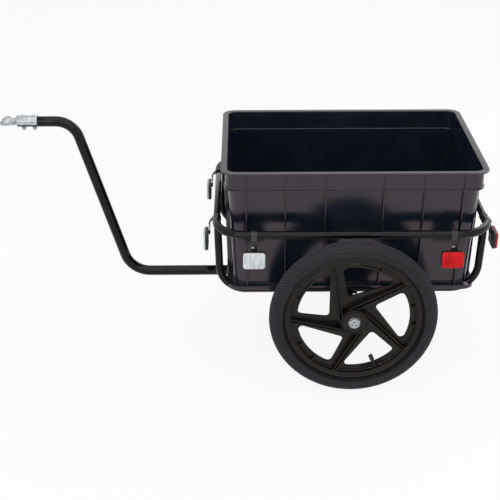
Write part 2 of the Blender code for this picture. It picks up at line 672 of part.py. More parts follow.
def build_axle(root, steel, zinc):
    """Cross axle with a shoulder at each inner bearing, and a closed hex nut on each end."""
    nut_start = WHEEL_Y + BEARING_OUTER_FACE + GAP
    axle_end = nut_start + NUT_THICKNESS - NUT_FACE - GAP
    shoulder_end = WHEEL_Y - BEARING_OUTER_FACE - GAP
    shoulder_start = HOOP_Y + STIRRUP_HALF_DEPTH + GAP
    half = [(shoulder_start, AXLE_RADIUS), (shoulder_start, AXLE_SHOULDER_RADIUS),
            (shoulder_end, AXLE_SHOULDER_RADIUS), (shoulder_end, AXLE_RADIUS), (axle_end, AXLE_RADIUS)]
    stations = [(-y, radius) for y, radius in reversed(half)] + half
    centre = (0, 0, AXLE_HEIGHT)
    add_object("cross_axle", make_rod("Y", stations), root, centre, material=steel)
    corner = NUT_ACROSS_FLATS / 2 / cos(pi / 6)
    hexagon = [(corner * cos(pi * (i + 0.5) / 3), corner * sin(pi * (i + 0.5) / 3)) for i in range(6)]
    for side, word in ((-1, "left"), (1, "right")):
        faces = sorted((side * nut_start, side * (nut_start + NUT_THICKNESS)))
        nut = add_object(word + "_axle_nut", make_prism(hexagon, *faces), root, centre, material=zinc)
        depth = sorted((side * (nut_start - NUT_FACE), side * (axle_end + GAP)))
        bore = make_rod("Y", [(depth[0], BEARING_BORE), (depth[1], BEARING_BORE)])
        combine(nut, "DIFFERENCE", word + " nut bore", bore, centre)


# Wheels

def radial_rod(angle, stations):
    """A round rod that points out from the wheel centre at an angle in the wheel plane."""
    bm = make_rod("X", stations)
    bmesh.ops.rotate(bm, cent=(0, 0, 0), matrix=Matrix.Rotation(-angle, 3, "Y"), verts=bm.verts)
    return bm


def polar(radius, angle):
    """A point of the wheel plane as (x, z)."""
    return (radius * cos(angle), radius * sin(angle))


def rim_profile():
    """Half section of hub, web and tyre channel, mirrored to a closed (radius, y) profile."""
    half = [
        (HUB_BORE, BEARING_INNER_FACE - GAP),
        (BEARING_RADIUS + GAP, BEARING_INNER_FACE - GAP),
        (BEARING_RADIUS + GAP, HUB_HALF_WIDTH),
        (HUB_RADIUS, HUB_HALF_WIDTH),
        (HUB_RADIUS + WEB_HALF_THICKNESS / 2, WEB_HALF_THICKNESS),
        (RIM_BAND_RADIUS, WEB_HALF_THICKNESS),
        (RIM_BAND_RADIUS, RIM_HALF_WIDTH),
        (RIM_FLANGE_RADIUS, RIM_HALF_WIDTH),
        (RIM_FLANGE_RADIUS, RIM_CHANNEL_HALF_WIDTH),
        (RIM_BED_RADIUS, RIM_CHANNEL_HALF_WIDTH - GAP),
    ]
    return half + [(radius, -y) for radius, y in reversed(half)]


def window_shapes():
    """Cutters for the five windows: a nearly radial side, an arc under the rim, a slanting side."""
    bm = bmesh.new()
    reach = 2 * RIM_HALF_WIDTH
    for spoke in range(SPOKES):
        start = WINDOW_FIRST_ANGLE - 2 * pi * spoke / SPOKES
        arc = [polar(WINDOW_OUTER_RADIUS, start - WINDOW_SWEEP * i / WINDOW_ARC_STEPS)
               for i in range(WINDOW_ARC_STEPS + 1)]
        corners = [polar(WINDOW_INNER_RADIUS, start + WINDOW_INNER_LEAD), *arc]
        radii = [WINDOW_CORNER, WINDOW_CORNER, *[0] * (WINDOW_ARC_STEPS - 1), WINDOW_CORNER]
        add_prism(bm, round_corners(corners, radii), -reach, reach)
    return bm


def ridge_shapes():
    """The spoke ridges, nearly tangent to the hub and taller there, and the channel gussets."""
    bm = bmesh.new()
    root_radius = (RIM_BAND_RADIUS + RIM_BED_RADIUS) / 2
    for spoke in range(SPOKES):
        angle = RIDGE_FIRST_ANGLE - 2 * pi * spoke / SPOKES
        outer = Vector(polar(root_radius, angle))
        turn = acos(RIDGE_OFFSET / root_radius)
        inner = Vector(polar(RIDGE_OFFSET, angle + turn))
        along = (inner - outer).normalized()
        across = Vector((-along.y, along.x)) * RIDGE_HALF_THICKNESS
        add_bar(bm, outer, inner, across, RIDGE_RIM_HEIGHT, RIDGE_HUB_HEIGHT)
        for hand in (-1, 1):
            ray = GUSSET_MIDDLE_ANGLE + hand * GUSSET_SPREAD - 2 * pi * spoke / SPOKES
            across = Vector((-sin(ray), cos(ray))) * GUSSET_HALF_THICKNESS
            add_bar(bm, Vector(polar(root_radius, ray)), Vector(polar(GUSSET_INNER_RADIUS, ray)), across,
                    GUSSET_HEIGHT, GUSSET_HEIGHT)
    return bm


def add_bar(bm, start, end, across, start_height, end_height):
    """A straight rib in the wheel plane that stands out on both faces."""
    loops = []
    for point, height in ((start, start_height), (end, end_height)):
        left = point - across
        right = point + across
        loops.append([bm.verts.new(place) for place in (
            (left.x, -height, left.y), (right.x, -height, right.y),
            (right.x, height, right.y), (left.x, height, left.y))])
    for i in range(4):
        j = (i + 1) % 4
        bm.faces.new((loops[0][i], loops[0][j], loops[1][j], loops[1][i]))
    bm.faces.new(loops[0])
    bm.faces.new(loops[1])


def tyre_profiles():
    """Closed sections of the tyre and of the chamber inside it."""
    middle = TYRE_RADIUS - TYRE_SECTION
    bead_y = RIM_CHANNEL_HALF_WIDTH - GAP
    outer = [radians(angle) for angle in (-112, -84, -56, -28, 0, 28, 56, 84, 112)]
    inner = [radians(angle) for angle in (104, 52, 0, -52, -104)]
    cavity = TYRE_SECTION - TYRE_CASING
    tread = [(middle + TYRE_SECTION * cos(a), TYRE_SECTION * sin(a)) for a in outer]
    chamber = [(middle + cavity * cos(a), cavity * sin(a)) for a in inner]
    foot_y = bead_y - TYRE_CASING
    shelf = BEAD_TOP_RADIUS + TYRE_CASING
    shoulder_y = RIM_HALF_WIDTH + TYRE_CASING / 4
    beads = [(BEAD_TOP_RADIUS, shoulder_y), (BEAD_TOP_RADIUS, bead_y), (BEAD_FOOT_RADIUS, bead_y),
             (BEAD_FOOT_RADIUS, foot_y), (shelf, foot_y)]
    tyre = tread + beads + chamber + [(radius, -y) for radius, y in reversed(beads)]
    fill_radius = cavity - TUBE_CLEARANCE
    fill = [(middle + fill_radius * cos(a), fill_radius * sin(a)) for a in inner]
    neck_y = foot_y - TUBE_CLEARANCE
    neck = [(BEAD_FOOT_RADIUS, neck_y), (shelf + TUBE_CLEARANCE, neck_y)]
    tube = neck + fill + [(radius, -y) for radius, y in reversed(neck)]
    return tyre, tube


def build_wheel(root, side, word, looks):
    """One wheel on its own spin axis. The right wheel is the left one turned half round."""
    axis = make_empty(word + " wheel axis", (0, side * WHEEL_Y, AXLE_HEIGHT), root)
    turn = 0.0 if side < 0 else pi
    rim = add_object(word + "_rim", make_turned(rim_profile()), axis, turn=turn, material=looks["rim"])
    combine(rim, "DIFFERENCE", word + " rim windows", window_shapes(), turn=turn)
    combine(rim, "UNION", word + " rim ridges", ridge_shapes(), turn=turn)
    slot = radial_rod(VALVE_ANGLE, [(WINDOW_OUTER_RADIUS - WINDOW_CORNER, VALVE_SLOT_RADIUS),
                                    (BEAD_FOOT_RADIUS + TYRE_CASING, VALVE_SLOT_RADIUS)])
    combine(rim, "DIFFERENCE", word + " valve slot", slot, turn=turn)

    tyre_section, tube_section = tyre_profiles()
    add_object(word + "_tyre", make_turned(tyre_section), axis, turn=turn, material=looks["tyre"])
    tube = add_object(word + "_inner_tube", make_turned(tube_section), axis, turn=turn,
                      material=looks["tube"])
    stem_root = BEAD_FOOT_RADIUS + VALVE_BORE_RADIUS
    stem = radial_rod(VALVE_ANGLE, [(VALVE_TIP_RADIUS, VALVE_STEM_RADIUS), (stem_root, VALVE_STEM_RADIUS)])
    combine(tube, "UNION", word + " valve stem", stem, turn=turn)
    middle = TYRE_RADIUS - TYRE_SECTION
    hollow = [(middle + (radius - middle) * TUBE_SKIN_SHARE, y * TUBE_SKIN_SHARE)
              for radius, y in tube_section]
    combine(tube, "DIFFERENCE", word + " tube hollow", make_turned(hollow), turn=turn)
    bore = radial_rod(VALVE_ANGLE, [(VALVE_TIP_RADIUS - GAP, VALVE_BORE_RADIUS), (middle, VALVE_BORE_RADIUS)])
    combine(tube, "DIFFERENCE", word + " valve bore", bore, turn=turn)

    for hand, name in ((-side, "inner"), (side, "outer")):
        near = hand * BEARING_INNER_FACE
        far = hand * BEARING_OUTER_FACE
        ring = [(BEARING_BORE, near), (BEARING_RADIUS, near), (BEARING_RADIUS, far), (BEARING_BORE, far)]
        add_object(f"{word}_{name}_bearing", make_turned(ring, SMALL_SEGMENTS), axis,
                   material=looks["bearing"])
    half = BEARING_INNER_FACE - GAP
    sleeve = [(BEARING_BORE, -half), (SPACER_RADIUS, -half), (SPACER_RADIUS, half), (BEARING_BORE, half)]
    add_object(word + "_hub_spacer", make_turned(sleeve, SMALL_SEGMENTS), axis, material=looks["bearing"])


# Drawbar and coupling

def build_drawbar(root, paint, plastic):
    """The bent drawbar, the two hangers under the cross tubes and the plug in the open end."""
    corners = [(DRAWBAR_REAR_X, 0, DRAWBAR_LOW), (DRAWBAR_LOW_CORNER_X, 0, DRAWBAR_LOW),
               (DRAWBAR_HIGH_CORNER_X, 0, DRAWBAR_HIGH), (DRAWBAR_FRONT_X, 0, DRAWBAR_HIGH)]
    route = bend_route(corners, [DRAWBAR_LOW_BEND, DRAWBAR_HIGH_BEND])
    drawbar = add_tube("drawbar", route, DRAWBAR_RADIUS, DRAWBAR_WALL, root, paint)
    hole = COUPLING_BOLT_RADIUS + GAP
    for number, x in enumerate(COUPLING_BOLT_XS, 1):
        stations = [(DRAWBAR_HIGH - 2 * DRAWBAR_RADIUS, hole), (DRAWBAR_HIGH + 2 * DRAWBAR_RADIUS, hole)]
        combine(drawbar, "DIFFERENCE", f"drawbar bolt hole {number}", make_rod("Z", stations, (x, 0, 0)))

    for x, name in ((FRONT_CROSS_X, "front_drawbar_hanger"), (REAR_CROSS_X, "rear_drawbar_hanger")):
        low = (x - HANGER_HALF_LENGTH, -HANGER_HALF_WIDTH, DRAWBAR_LOW + DRAWBAR_RADIUS - HANGER_BITE)
        high = (x + HANGER_HALF_LENGTH, HANGER_HALF_WIDTH, HOOP_HEIGHT - CROSS_TUBE_RADIUS + HANGER_BITE)
        hanger = add_object(name, make_block(low, high), root, material=paint)
        reach = 2 * HANGER_HALF_WIDTH
        cross = [(-reach, CROSS_TUBE_RADIUS + GAP), (reach, CROSS_TUBE_RADIUS + GAP)]
        combine(hanger, "DIFFERENCE", name + " upper groove", make_rod("Y", cross, (x, 0, HOOP_HEIGHT)))
        bar = [(x - reach, DRAWBAR_RADIUS + GAP), (x + reach, DRAWBAR_RADIUS + GAP)]
        combine(hanger, "DIFFERENCE", name + " lower groove", make_rod("X", bar, (0, 0, DRAWBAR_LOW)))

    face = DRAWBAR_FRONT_X - GAP
    stations = [(face - PLUG_FLANGE, PLUG_FLANGE_RADIUS), (face, PLUG_FLANGE_RADIUS),
                (face, PLUG_SHANK_RADIUS), (face + PLUG_DEPTH, PLUG_SHANK_RADIUS)]
    plug = make_rod("X", stations, (0, 0, DRAWBAR_HIGH))
    add_object("drawbar_end_plug", plug, root, material=plastic)


def pressing_loop(x, half_width, outer, inner, centre_z):
    """Section of the coupling pressing at one X: flange, arch and flange, then back underneath."""
    arch = [pi * i / ARCH_STEPS for i in range(1, ARCH_STEPS)]
    points = []
    for radius, flange_z, order in ((outer, FLANGE_TOP, 1), (inner, FLANGE_TOP - PRESSING_THICKNESS, -1)):
        spread = radius if radius else half_width * 2 / 3
        row = [(half_width, flange_z), (spread, flange_z)]
        for angle in arch:
            height = centre_z + radius * sin(angle) if radius else flange_z
            row.append((spread * cos(angle), height))
        row += [(-spread, flange_z), (-half_width, flange_z)]
        points += [(x, y, z) for y, z in row[::order]]
    return points


def coupling_sections():
    """Sections of the pressing from the tip over the cup and the neck to the end of the saddle."""
    thin = PRESSING_THICKNESS
    cup_front = CUP_X - CUP_RADIUS
    sections = [(COUPLING_TIP_X, TIP_HALF_WIDTH, 0, 0, FLANGE_TOP),
                (cup_front - NOSE_LENGTH, NOSE_HALF_WIDTH, 0, 0, FLANGE_TOP)]
    for shift, half_width in CUP_STATIONS:
        outer = sqrt(CUP_RADIUS ** 2 - shift ** 2)
        inner = sqrt(max((CUP_RADIUS - thin) ** 2 - shift ** 2, 0))
        sections.append((CUP_X + shift, half_width, outer, inner, FLANGE_TOP))
    neck_start = CUP_X + sqrt(CUP_RADIUS ** 2 - NECK_RADIUS ** 2)
    neck_end = JAW_PIVOT_X + NECK_REAR_SHIFT
    nose = SADDLE_RADIUS - GAP
    for x, half_width in zip((neck_start, neck_end), NECK_HALF_WIDTHS):
        sections.append((x, half_width, NECK_RADIUS, NECK_RADIUS - thin, FLANGE_TOP))
    sections.append((SADDLE_FRONT_X - SADDLE_NOSE_LENGTH, SADDLE_NOSE_HALF_WIDTH, nose, nose - thin,
                     DRAWBAR_HIGH - 2 * GAP))
    for x in (SADDLE_FRONT_X, SADDLE_REAR_X):
        sections.append((x, SADDLE_HALF_WIDTH, SADDLE_RADIUS, SADDLE_RADIUS - thin, DRAWBAR_HIGH))
    return sections


def build_coupling(root, zinc, dark_steel):
    """The ball coupling with its two bolts and nuts through the drawbar, and the ball jaw."""
    pressing = make_loft([pressing_loop(*section) for section in coupling_sections()])
    coupling = add_object("ball_coupling", pressing, root, material=zinc)
    hole = COUPLING_BOLT_RADIUS + GAP
    crown = DRAWBAR_HIGH + SADDLE_RADIUS
    corner = COUPLING_NUT_ACROSS_FLATS / 2 / cos(pi / 6)
    hexagon = [polar(corner, pi * i / 3) for i in range(6)]
    for x, word in zip(COUPLING_BOLT_XS, ("front", "rear")):
        drill = make_rod("Z", [(DRAWBAR_HIGH, hole), (crown + SADDLE_RADIUS, hole)], (x, 0, 0))
        combine(coupling, "DIFFERENCE", word + " saddle hole", drill)
        head_foot = crown + GAP
        stations = [(COUPLING_BOLT_FOOT, COUPLING_BOLT_RADIUS), (head_foot, COUPLING_BOLT_RADIUS),
                    (head_foot, COUPLING_HEAD_RADIUS),
                    (head_foot + COUPLING_HEAD_HEIGHT, COUPLING_HEAD_TOP_RADIUS)]
        add_object(word + "_coupling_bolt", make_rod("Z", stations), root, (x, 0, 0), material=zinc)
        nut_top = DRAWBAR_HIGH - DRAWBAR_RADIUS - GAP
        nut_foot = nut_top - COUPLING_NUT_HEIGHT
        loops = [[(a, b, z) for a, b in hexagon] for z in (nut_foot, nut_top)]
        nut = add_object(word + "_coupling_nut", make_loft(loops), root, (x, 0, 0), material=dark_steel)
        thread = make_rod("Z", [(nut_foot - hole, hole), (nut_top + hole, hole)])
        combine(nut, "DIFFERENCE", word + " nut thread", thread, (x, 0, 0))

    pivot = (JAW_PIVOT_X, 0, JAW_PIVOT_Z)
    width = 2 * CUP_RADIUS
    pin_hole = make_rod("Y", [(-width, JAW_PIN_HOLE), (width, JAW_PIN_HOLE)])
    combine(coupling, "DIFFERENCE", "jaw pin hole", pin_hole, pivot)
    ball_x = CUP_X - JAW_PIVOT_X
    ball_z = FLANGE_TOP - JAW_PIVOT_Z
    face = [(ball_x + JAW_REACH * cos(angle), ball_z + JAW_REACH * sin(angle))
            for angle in JAW_FACE_ANGLES]
    outline = [*face, (JAW_FOOT_X, face[-1][1]), *JAW_TOP]
    jaw = add_object("coupling_jaw", make_prism(outline, -JAW_HALF_WIDTH, JAW_HALF_WIDTH), root, pivot,
                     material=dark_steel)
    pin = make_rod("Y", [(-JAW_PIN_HALF_LENGTH, JAW_PIN_RADIUS), (JAW_PIN_HALF_LENGTH, JAW_PIN_RADIUS)])
    combine(jaw, "UNION", "jaw pin", pin, pivot)


# Reflectors

def build_reflector(root, name, place, turn, tube_radius, shift, looks):
    """A clip round a tube, a housing hung from its tab and a lens. Outward is local -Y."""
    clip_radius = (tube_radius + GAP + CLIP_THICKNESS) / cos(pi / TUBE_SIDES)
    route = [(-CLIP_WIDTH / 2, 0, 0), (CLIP_WIDTH / 2, 0, 0)]
    clip = add_tube(name + "_clip", route, clip_radius, CLIP_THICKNESS, root, looks["clip"])
    clip.location = place
    clip.rotation_euler = (0, 0, turn)
    shoulder = -clip_radius - TAB_PROUD
    tab_front = shoulder - TAB_LEAN
    tab_back = tab_front + TAB_THICKNESS
    root_y = -tube_radius - GAP - CLIP_THICKNESS / 2
    outline = [(root_y, CLIP_THICKNESS), (shoulder, CLIP_THICKNESS), (tab_front, -TAB_LEAN_DROP),
               (tab_front, -TAB_LENGTH), (tab_back, -TAB_LENGTH),
               (tab_back, -TAB_LEAN_DROP - CLIP_THICKNESS / 2), (root_y, -CLIP_THICKNESS)]
    half = CLIP_WIDTH / 2 - GAP
    tab = make_loft([[(x, y, z) for y, z in outline] for x in (-half, half)])
    combine(clip, "UNION", name + " clip tab", tab, place, turn)
    stations = [(tab_front - SCREW_HEIGHT, SCREW_RADIUS), (tab_front + TAB_PROUD, SCREW_RADIUS)]
    screw = make_rod("Y", stations, (0, 0, -SCREW_DROP), segments=SCREW_SEGMENTS)
    combine(clip, "UNION", name + " clip screw", screw, place, turn)

    back = tab_front - GAP - BOSS_HEIGHT
    front = back - REFLECTOR_DEPTH
    shell = rounded_rectangle(REFLECTOR_WIDTH / 2, REFLECTOR_HEIGHT / 2, REFLECTOR_CORNER, 2)
    shell = [(x + shift, z - REFLECTOR_DROP) for x, z in shell]
    housing = add_object(name + "_housing", make_prism(shell, front, back), root, place, turn,
                         looks["housing"])
    boss = make_rod("Y", [(back - BOSS_HEIGHT, BOSS_RADIUS), (back + BOSS_HEIGHT, BOSS_RADIUS)],
                    (0, 0, -BOSS_DROP), segments=SCREW_SEGMENTS)
    combine(housing, "UNION", name + " housing boss", boss, place, turn)
    lens_back = front - LENS_PROUD + LENS_THICKNESS
    for grow, item in ((GAP, "recess"), (0, "lens")):
        half_width = REFLECTOR_WIDTH / 2 - REFLECTOR_BORDER + grow
        half_height = REFLECTOR_HEIGHT / 2 - REFLECTOR_BORDER + grow
        outline = rounded_rectangle(half_width, half_height, REFLECTOR_CORNER - REFLECTOR_BORDER, 2)
        outline = [(x + shift, z - REFLECTOR_DROP) for x, z in outline]
        if item == "recess":
            cutter = make_prism(outline, front - LENS_PROUD, lens_back + GAP)
            combine(housing, "DIFFERENCE", name + " lens recess", cutter, place, turn)
        else:
            plate = make_prism(outline, front - LENS_PROUD, lens_back)
            add_object(name + "_lens", plate, root, place, turn, looks["lens"])


def build_reflectors(root, clip, housing, white, red):
    """Two white reflectors ahead, two red behind, and one of each on both sides."""
    for side, word in ((-1, "left"), (1, "right")):
        turn = 0.0 if side < 0 else pi
        for x, end, lens in ((SIDE_WHITE_X, "front", white), (SIDE_RED_X, "rear", red)):
            looks = {"clip": clip, "housing": housing, "lens": lens}
            build_reflector(root, f"{word}_side_{end}_reflector", (x, side * RING_HALF_WIDTH, RING_HEIGHT),
                            turn, RAIL_RADIUS, 0.0, looks)
        for x, end, lens, turn in ((FRONT_BAR_X, "front", white, -pi / 2), (REAR_BAR_X, "rear", red, pi / 2)):
            looks = {"clip": clip, "housing": housing, "lens": lens}
            shift = END_REFLECTOR_SHIFT * side * (-1 if end == "front" else 1)
            build_reflector(root, f"{word}_{end}_reflector", (x, side * END_REFLECTOR_Y, RING_HEIGHT),
                            turn, BAR_RADIUS, shift, looks)


def build_trailer():
    """The whole trailer."""
    clear_scene()
    black_plastic = make_material("black polypropylene", "2b2a2e", 0.38)
    rim_plastic = make_material("dark grey glass-filled nylon", "3a3a3d", 0.55)
    rubber = make_material("tyre rubber", "262528", 0.85)
    tube_rubber = make_material("butyl rubber", "1d1d1f", 0.7)
    paint = make_material("black powder coat", "222226", 0.3)
    zinc = make_material("zinc plate", "a7adb0", 0.38, 0.85)
    steel = make_material("bearing steel", "8d9093", 0.3, 0.9)
    dark_steel = make_material("blackened steel", "4a4b4d", 0.45, 0.8)
    housing = make_material("reflector housing plastic", "1c1c1e", 0.5)
    white = make_material("clear reflector lens", "eef2f4", 0.15)
    red = make_material("red reflector lens", "d4141c", 0.2)

    root = make_empty("trailer", (-OVERALL_MIDDLE_X, 0, 0))
    build_box(root, black_plastic)
    build_frame(root, paint, paint)
    build_axle(root, steel, zinc)
    for side, word in ((-1, "left"), (1, "right")):
        build_stirrup(root, side, word, paint)
        wheel_looks = {"rim": rim_plastic, "tyre": rubber, "tube": tube_rubber, "bearing": steel}
        build_wheel(root, side, word, wheel_looks)
    build_drawbar(root, paint, housing)
    build_coupling(root, zinc, dark_steel)
    build_reflectors(root, dark_steel, housing, white, red)


build_trailer()
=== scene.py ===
"""Scooter trailer: the visible pieces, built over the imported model, with a studio round them."""
import json
from math import acos, cos, pi, radians, sin, sqrt, tan

import bmesh
import bpy
from mathutils import Matrix, Vector


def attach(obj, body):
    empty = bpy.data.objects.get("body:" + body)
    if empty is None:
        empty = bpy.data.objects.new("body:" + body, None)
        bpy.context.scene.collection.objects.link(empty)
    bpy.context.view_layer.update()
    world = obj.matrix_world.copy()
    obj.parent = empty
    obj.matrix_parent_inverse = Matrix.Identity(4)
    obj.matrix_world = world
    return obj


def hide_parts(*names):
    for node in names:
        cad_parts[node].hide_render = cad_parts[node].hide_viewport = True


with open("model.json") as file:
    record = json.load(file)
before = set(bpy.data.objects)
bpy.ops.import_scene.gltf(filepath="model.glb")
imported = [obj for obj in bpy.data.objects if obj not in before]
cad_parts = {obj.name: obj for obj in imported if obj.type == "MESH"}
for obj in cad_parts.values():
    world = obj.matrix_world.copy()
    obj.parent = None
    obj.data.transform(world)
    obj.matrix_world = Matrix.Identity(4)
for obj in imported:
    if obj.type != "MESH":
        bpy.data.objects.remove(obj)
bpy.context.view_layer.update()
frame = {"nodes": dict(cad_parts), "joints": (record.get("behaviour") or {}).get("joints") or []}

# Metres. X is measured from the wheel axle, and each finished mesh is then moved to the row's frame.
AXLE_X = frame["joints"][1]["pos_m"][0]
CLEAR = 0.0003

# Tub
TUB_MIDDLE_X = -0.0010
TUB_HALF_LENGTH = 0.3037
TUB_HALF_WIDTH = 0.2153
TUB_TOP = 0.5305
TUB_FOOT = 0.2305
TUB_LIP = 0.0032
TUB_LAND = 0.0140
TUB_WALL = 0.0036
TUB_ROUNDING = 0.0009
RIM_CORNER = 0.031
COLLAR_CORNER = 0.026
WALL_CORNER = 0.027
INNER_CORNER = 0.020
COLLAR_INSET = 0.0100
COLLAR_RIB_INSET = 0.0068
COLLAR_FOOT = 0.4878
STEP_INSET = 0.0065
STEP_FOOT = 0.4848
WALL_INSET_TOP = 0.0160
WALL_INSET_FOOT = 0.0268
PLINTH_INSET = 0.0105
PLINTH_TOP = 0.2403
FLOOR_FILLET = 0.0060
COLLAR_INNER_INSET = 0.0178
WALL_INNER_INSET = 0.0184
INNER_STEP = 0.0007
FLAT_MARGIN = 0.0030
RIB_INSETS = ((0.0268, 0.0135), (0.0160, 0.0070))
RIB_THICKNESS = 0.0030
RIB_BITE = 0.0016
RIB_LAP = 0.0012
SIDE_RIB_TOPS = (0.0660, 0.1580, 0.2470)
SIDE_RIB_FEET = (0.0640, 0.1550, 0.2440)
END_RIBS = (0.0470, 0.1400)
CORNER_STEPS = 10
SEAT_CLEAR = 0.001
SEAT_REACH = 0.002

# Frame tubes
FRONT_BAR_X = -0.3163
REAR_BAR_X = 0.3113
RING_HEIGHT = 0.3887
RING_HALF_WIDTH = 0.2334
RING_BEND = 0.072
RAIL_RADIUS = 0.0098
RAIL_END_Y = 0.150
BAR_RADIUS = 0.00825
TUBE_WALL = 0.0012
BAR_BITE = 0.010
HOOP_Y = 0.179
HOOP_HEIGHT = 0.2212
HOOP_RADIUS = 0.009
HOOP_DROP = 0.004
HOOP_LEGS = ((-0.3135, -0.3095), (0.3045, 0.2990))
HOOP_BEND = 0.062
CROSS_RADIUS = 0.008
CROSS_BITE = 0.003
CROSS_TUBE_XS = (-0.232, -0.062)
TUBE_SIDES = 36
BEND_STEPS = 14

# Drawbar
DRAWBAR_RADIUS = 0.0125
DRAWBAR_CORNERS = ((-0.042, 0, 0.1774), (-0.5399, 0, 0.1774), (-0.6593, 0, 0.5798), (-0.7891, 0, 0.5798))
DRAWBAR_BENDS = (0.065, 0.056)
DRAWBAR_HIGH = 0.5798

# Wheels
AXLE_HEIGHT = 0.196
WHEEL_Y = 0.2739
TYRE_RADIUS = 0.196
TYRE_SECTION = 0.02225
TYRE_INNER_SECTION = 0.01825
TREAD_DEPTH = 0.0024
TREAD_PITCHES = 150
# Rows of tread blocks: degrees from the crown, share of a pitch ahead, length and width
TREAD_ROWS = ((0, 0.0, 0.0050, 0.0042), (14, 0.5, 0.0052, 0.0040), (-14, 0.5, 0.0052, 0.0040),
              (28, 0.0, 0.0052, 0.0040), (-28, 0.0, 0.0052, 0.0040), (42, 0.5, 0.0048, 0.0040),
              (-42, 0.5, 0.0048, 0.0040), (54, 0.0, 0.0036, 0.0034), (-54, 0.0, 0.0036, 0.0034))
WHEEL_SEGMENTS = 120
SPOKES = 5
HUB_RADIUS = 0.031
HUB_HALF_WIDTH = 0.0266
WEB_HALF = 0.0032
RIM_BAND = 0.1450
RIM_BED = 0.1490
RIM_FLANGE = 0.1623
RIM_BEAD = 0.1572
RIM_HALF_WIDTH = 0.0134
WINDOW_START = radians(174.8)
WINDOW_SWEEP = radians(59.4)
WINDOW_LEAD = radians(2.4)
WINDOW_INNER = 0.0564
WINDOW_OUTER = 0.131
WINDOW_CORNER = 0.009
WINDOW_REST = radians(8)
WINDOW_STEPS = 10
RIDGE_START = radians(108)
RIDGE_OFFSETS = (0.0262, 0.0328)
RIDGE_HALF_THICKNESS = 0.0016
RIDGE_RIM_HEIGHT = 0.0130
RIDGE_HUB_HEIGHTS = (0.0240, 0.0210)
GUSSET_MIDDLE = radians(3)
GUSSET_SPREAD = radians(10)
GUSSET_INNER = 0.1345
GUSSET_HALF_THICKNESS = 0.0012
GUSSET_RIM_HEIGHT = 0.0126
GUSSET_INNER_HEIGHT = 0.0100
PAD_RADII = (0.1335, 0.1375)
PAD_HEIGHT = 0.0062
PAD_STEPS = 8
VALVE_ANGLE = radians(-67)
NUT_ACROSS_FLATS = 0.0226
NUT_CHAMFER = 0.0016
NUT_TOP = 0.0069
NUT_PITS = 3
PIT_REACH = 0.0054
WASHER_TOP = 0.0012

# Coupling
CUP_X = -0.8145
CUP_RADIUS = 0.015
PRESSING = 0.0016
ARCH_STEPS = 20
FLANGE_TOP = 0.5781
SADDLE_RADIUS = 0.0145
NECK_RADIUS = 0.0101
SADDLE_XS = (-0.7898, -0.7435)
COUPLING_BOLT_XS = (-0.7768, -0.7513)
BOLT_FOOT = 0.5587
THREAD_TOP = 0.5667
THREAD_PITCH = 0.0008
JAW_PIVOT_X = -0.7995

# Reflectors
SIDE_REFLECTOR_XS = (-0.2300, 0.2250)
SIDE_RED_SHIFT = 0.0035
END_REFLECTOR_Y = 0.1410
END_REFLECTOR_SHIFT = 0.005
REFLECTOR_DROP = 0.0500
REFLECTOR_SIZE = (0.053, 0.042)
REFLECTOR_DEPTH = 0.0105
REFLECTOR_CORNER = 0.008
LENS_BORDER = 0.0013
LENS_DEPTH = 0.0034
CLIP_WIDTH = 0.014
CLIP_THICKNESS = 0.0015
TAB_LEAN = 0.0070
TAB_FOOT = -0.0400
CLIP_SCREW_Z = -0.0120
CLIP_NUT_Z = -0.0215
BOSS_Z = -0.0355
LENS_GROOVES = 16
GROOVE_PITCH = 0.0027

# Studio: lamps as name, place, size in metres and watts
LAMPS = (("overhead softbox", (0.1, -0.5, 2.6), (2.2, 1.2), 14),
         ("strip light", (0.2, -3.2, 2.15), (3.2, 0.12), 20),
         ("front softbox", (-1.6, -2.6, 1.9), (1.2, 1.2), 12),
         ("rear softbox", (1.8, 1.8, 2.0), (1.2, 1.2), 14))
LAMP_TARGET = (0.1, 0, 0.3)
FILL_STRENGTH = 0.55
FLOOR_GLOW = 0.90
FLOOR_SIZE = 20
CAMERA_PLACE = (-0.007294, -2.456468, 1.472181)
CAMERA_AZIMUTH = radians(0.338)
CAMERA_ELEVATION = radians(26.757)
CAMERA_ROLL = radians(-0.141)
CAMERA_LENS = 78.29


# Finishes

def srgb(text):
    """Linear colour of an sRGB hex value."""
    parts = [int(text[i:i + 2], 16) / 255 for i in (0, 2, 4)]
    return [v / 12.92 if v <= 0.04045 else ((v + 0.055) / 1.055) ** 2.4 for v in parts] + [1.0]


def per_metre(size):
    """Pattern scale for features of a size in millimetres."""
    return 1000 / size


def add_node(tree, kind, settings=None, inputs=None):
    """Add a node with its settings; an input is a value or the output that feeds it."""
    node = tree.nodes.new(kind)
    for name, value in (settings or {}).items():
        setattr(node, name, value)
    for socket, value in (inputs or {}).items():
        if isinstance(value, bpy.types.NodeSocket):
            tree.links.new(value, node.inputs[socket])
        else:
            node.inputs[socket].default_value = value
    return node


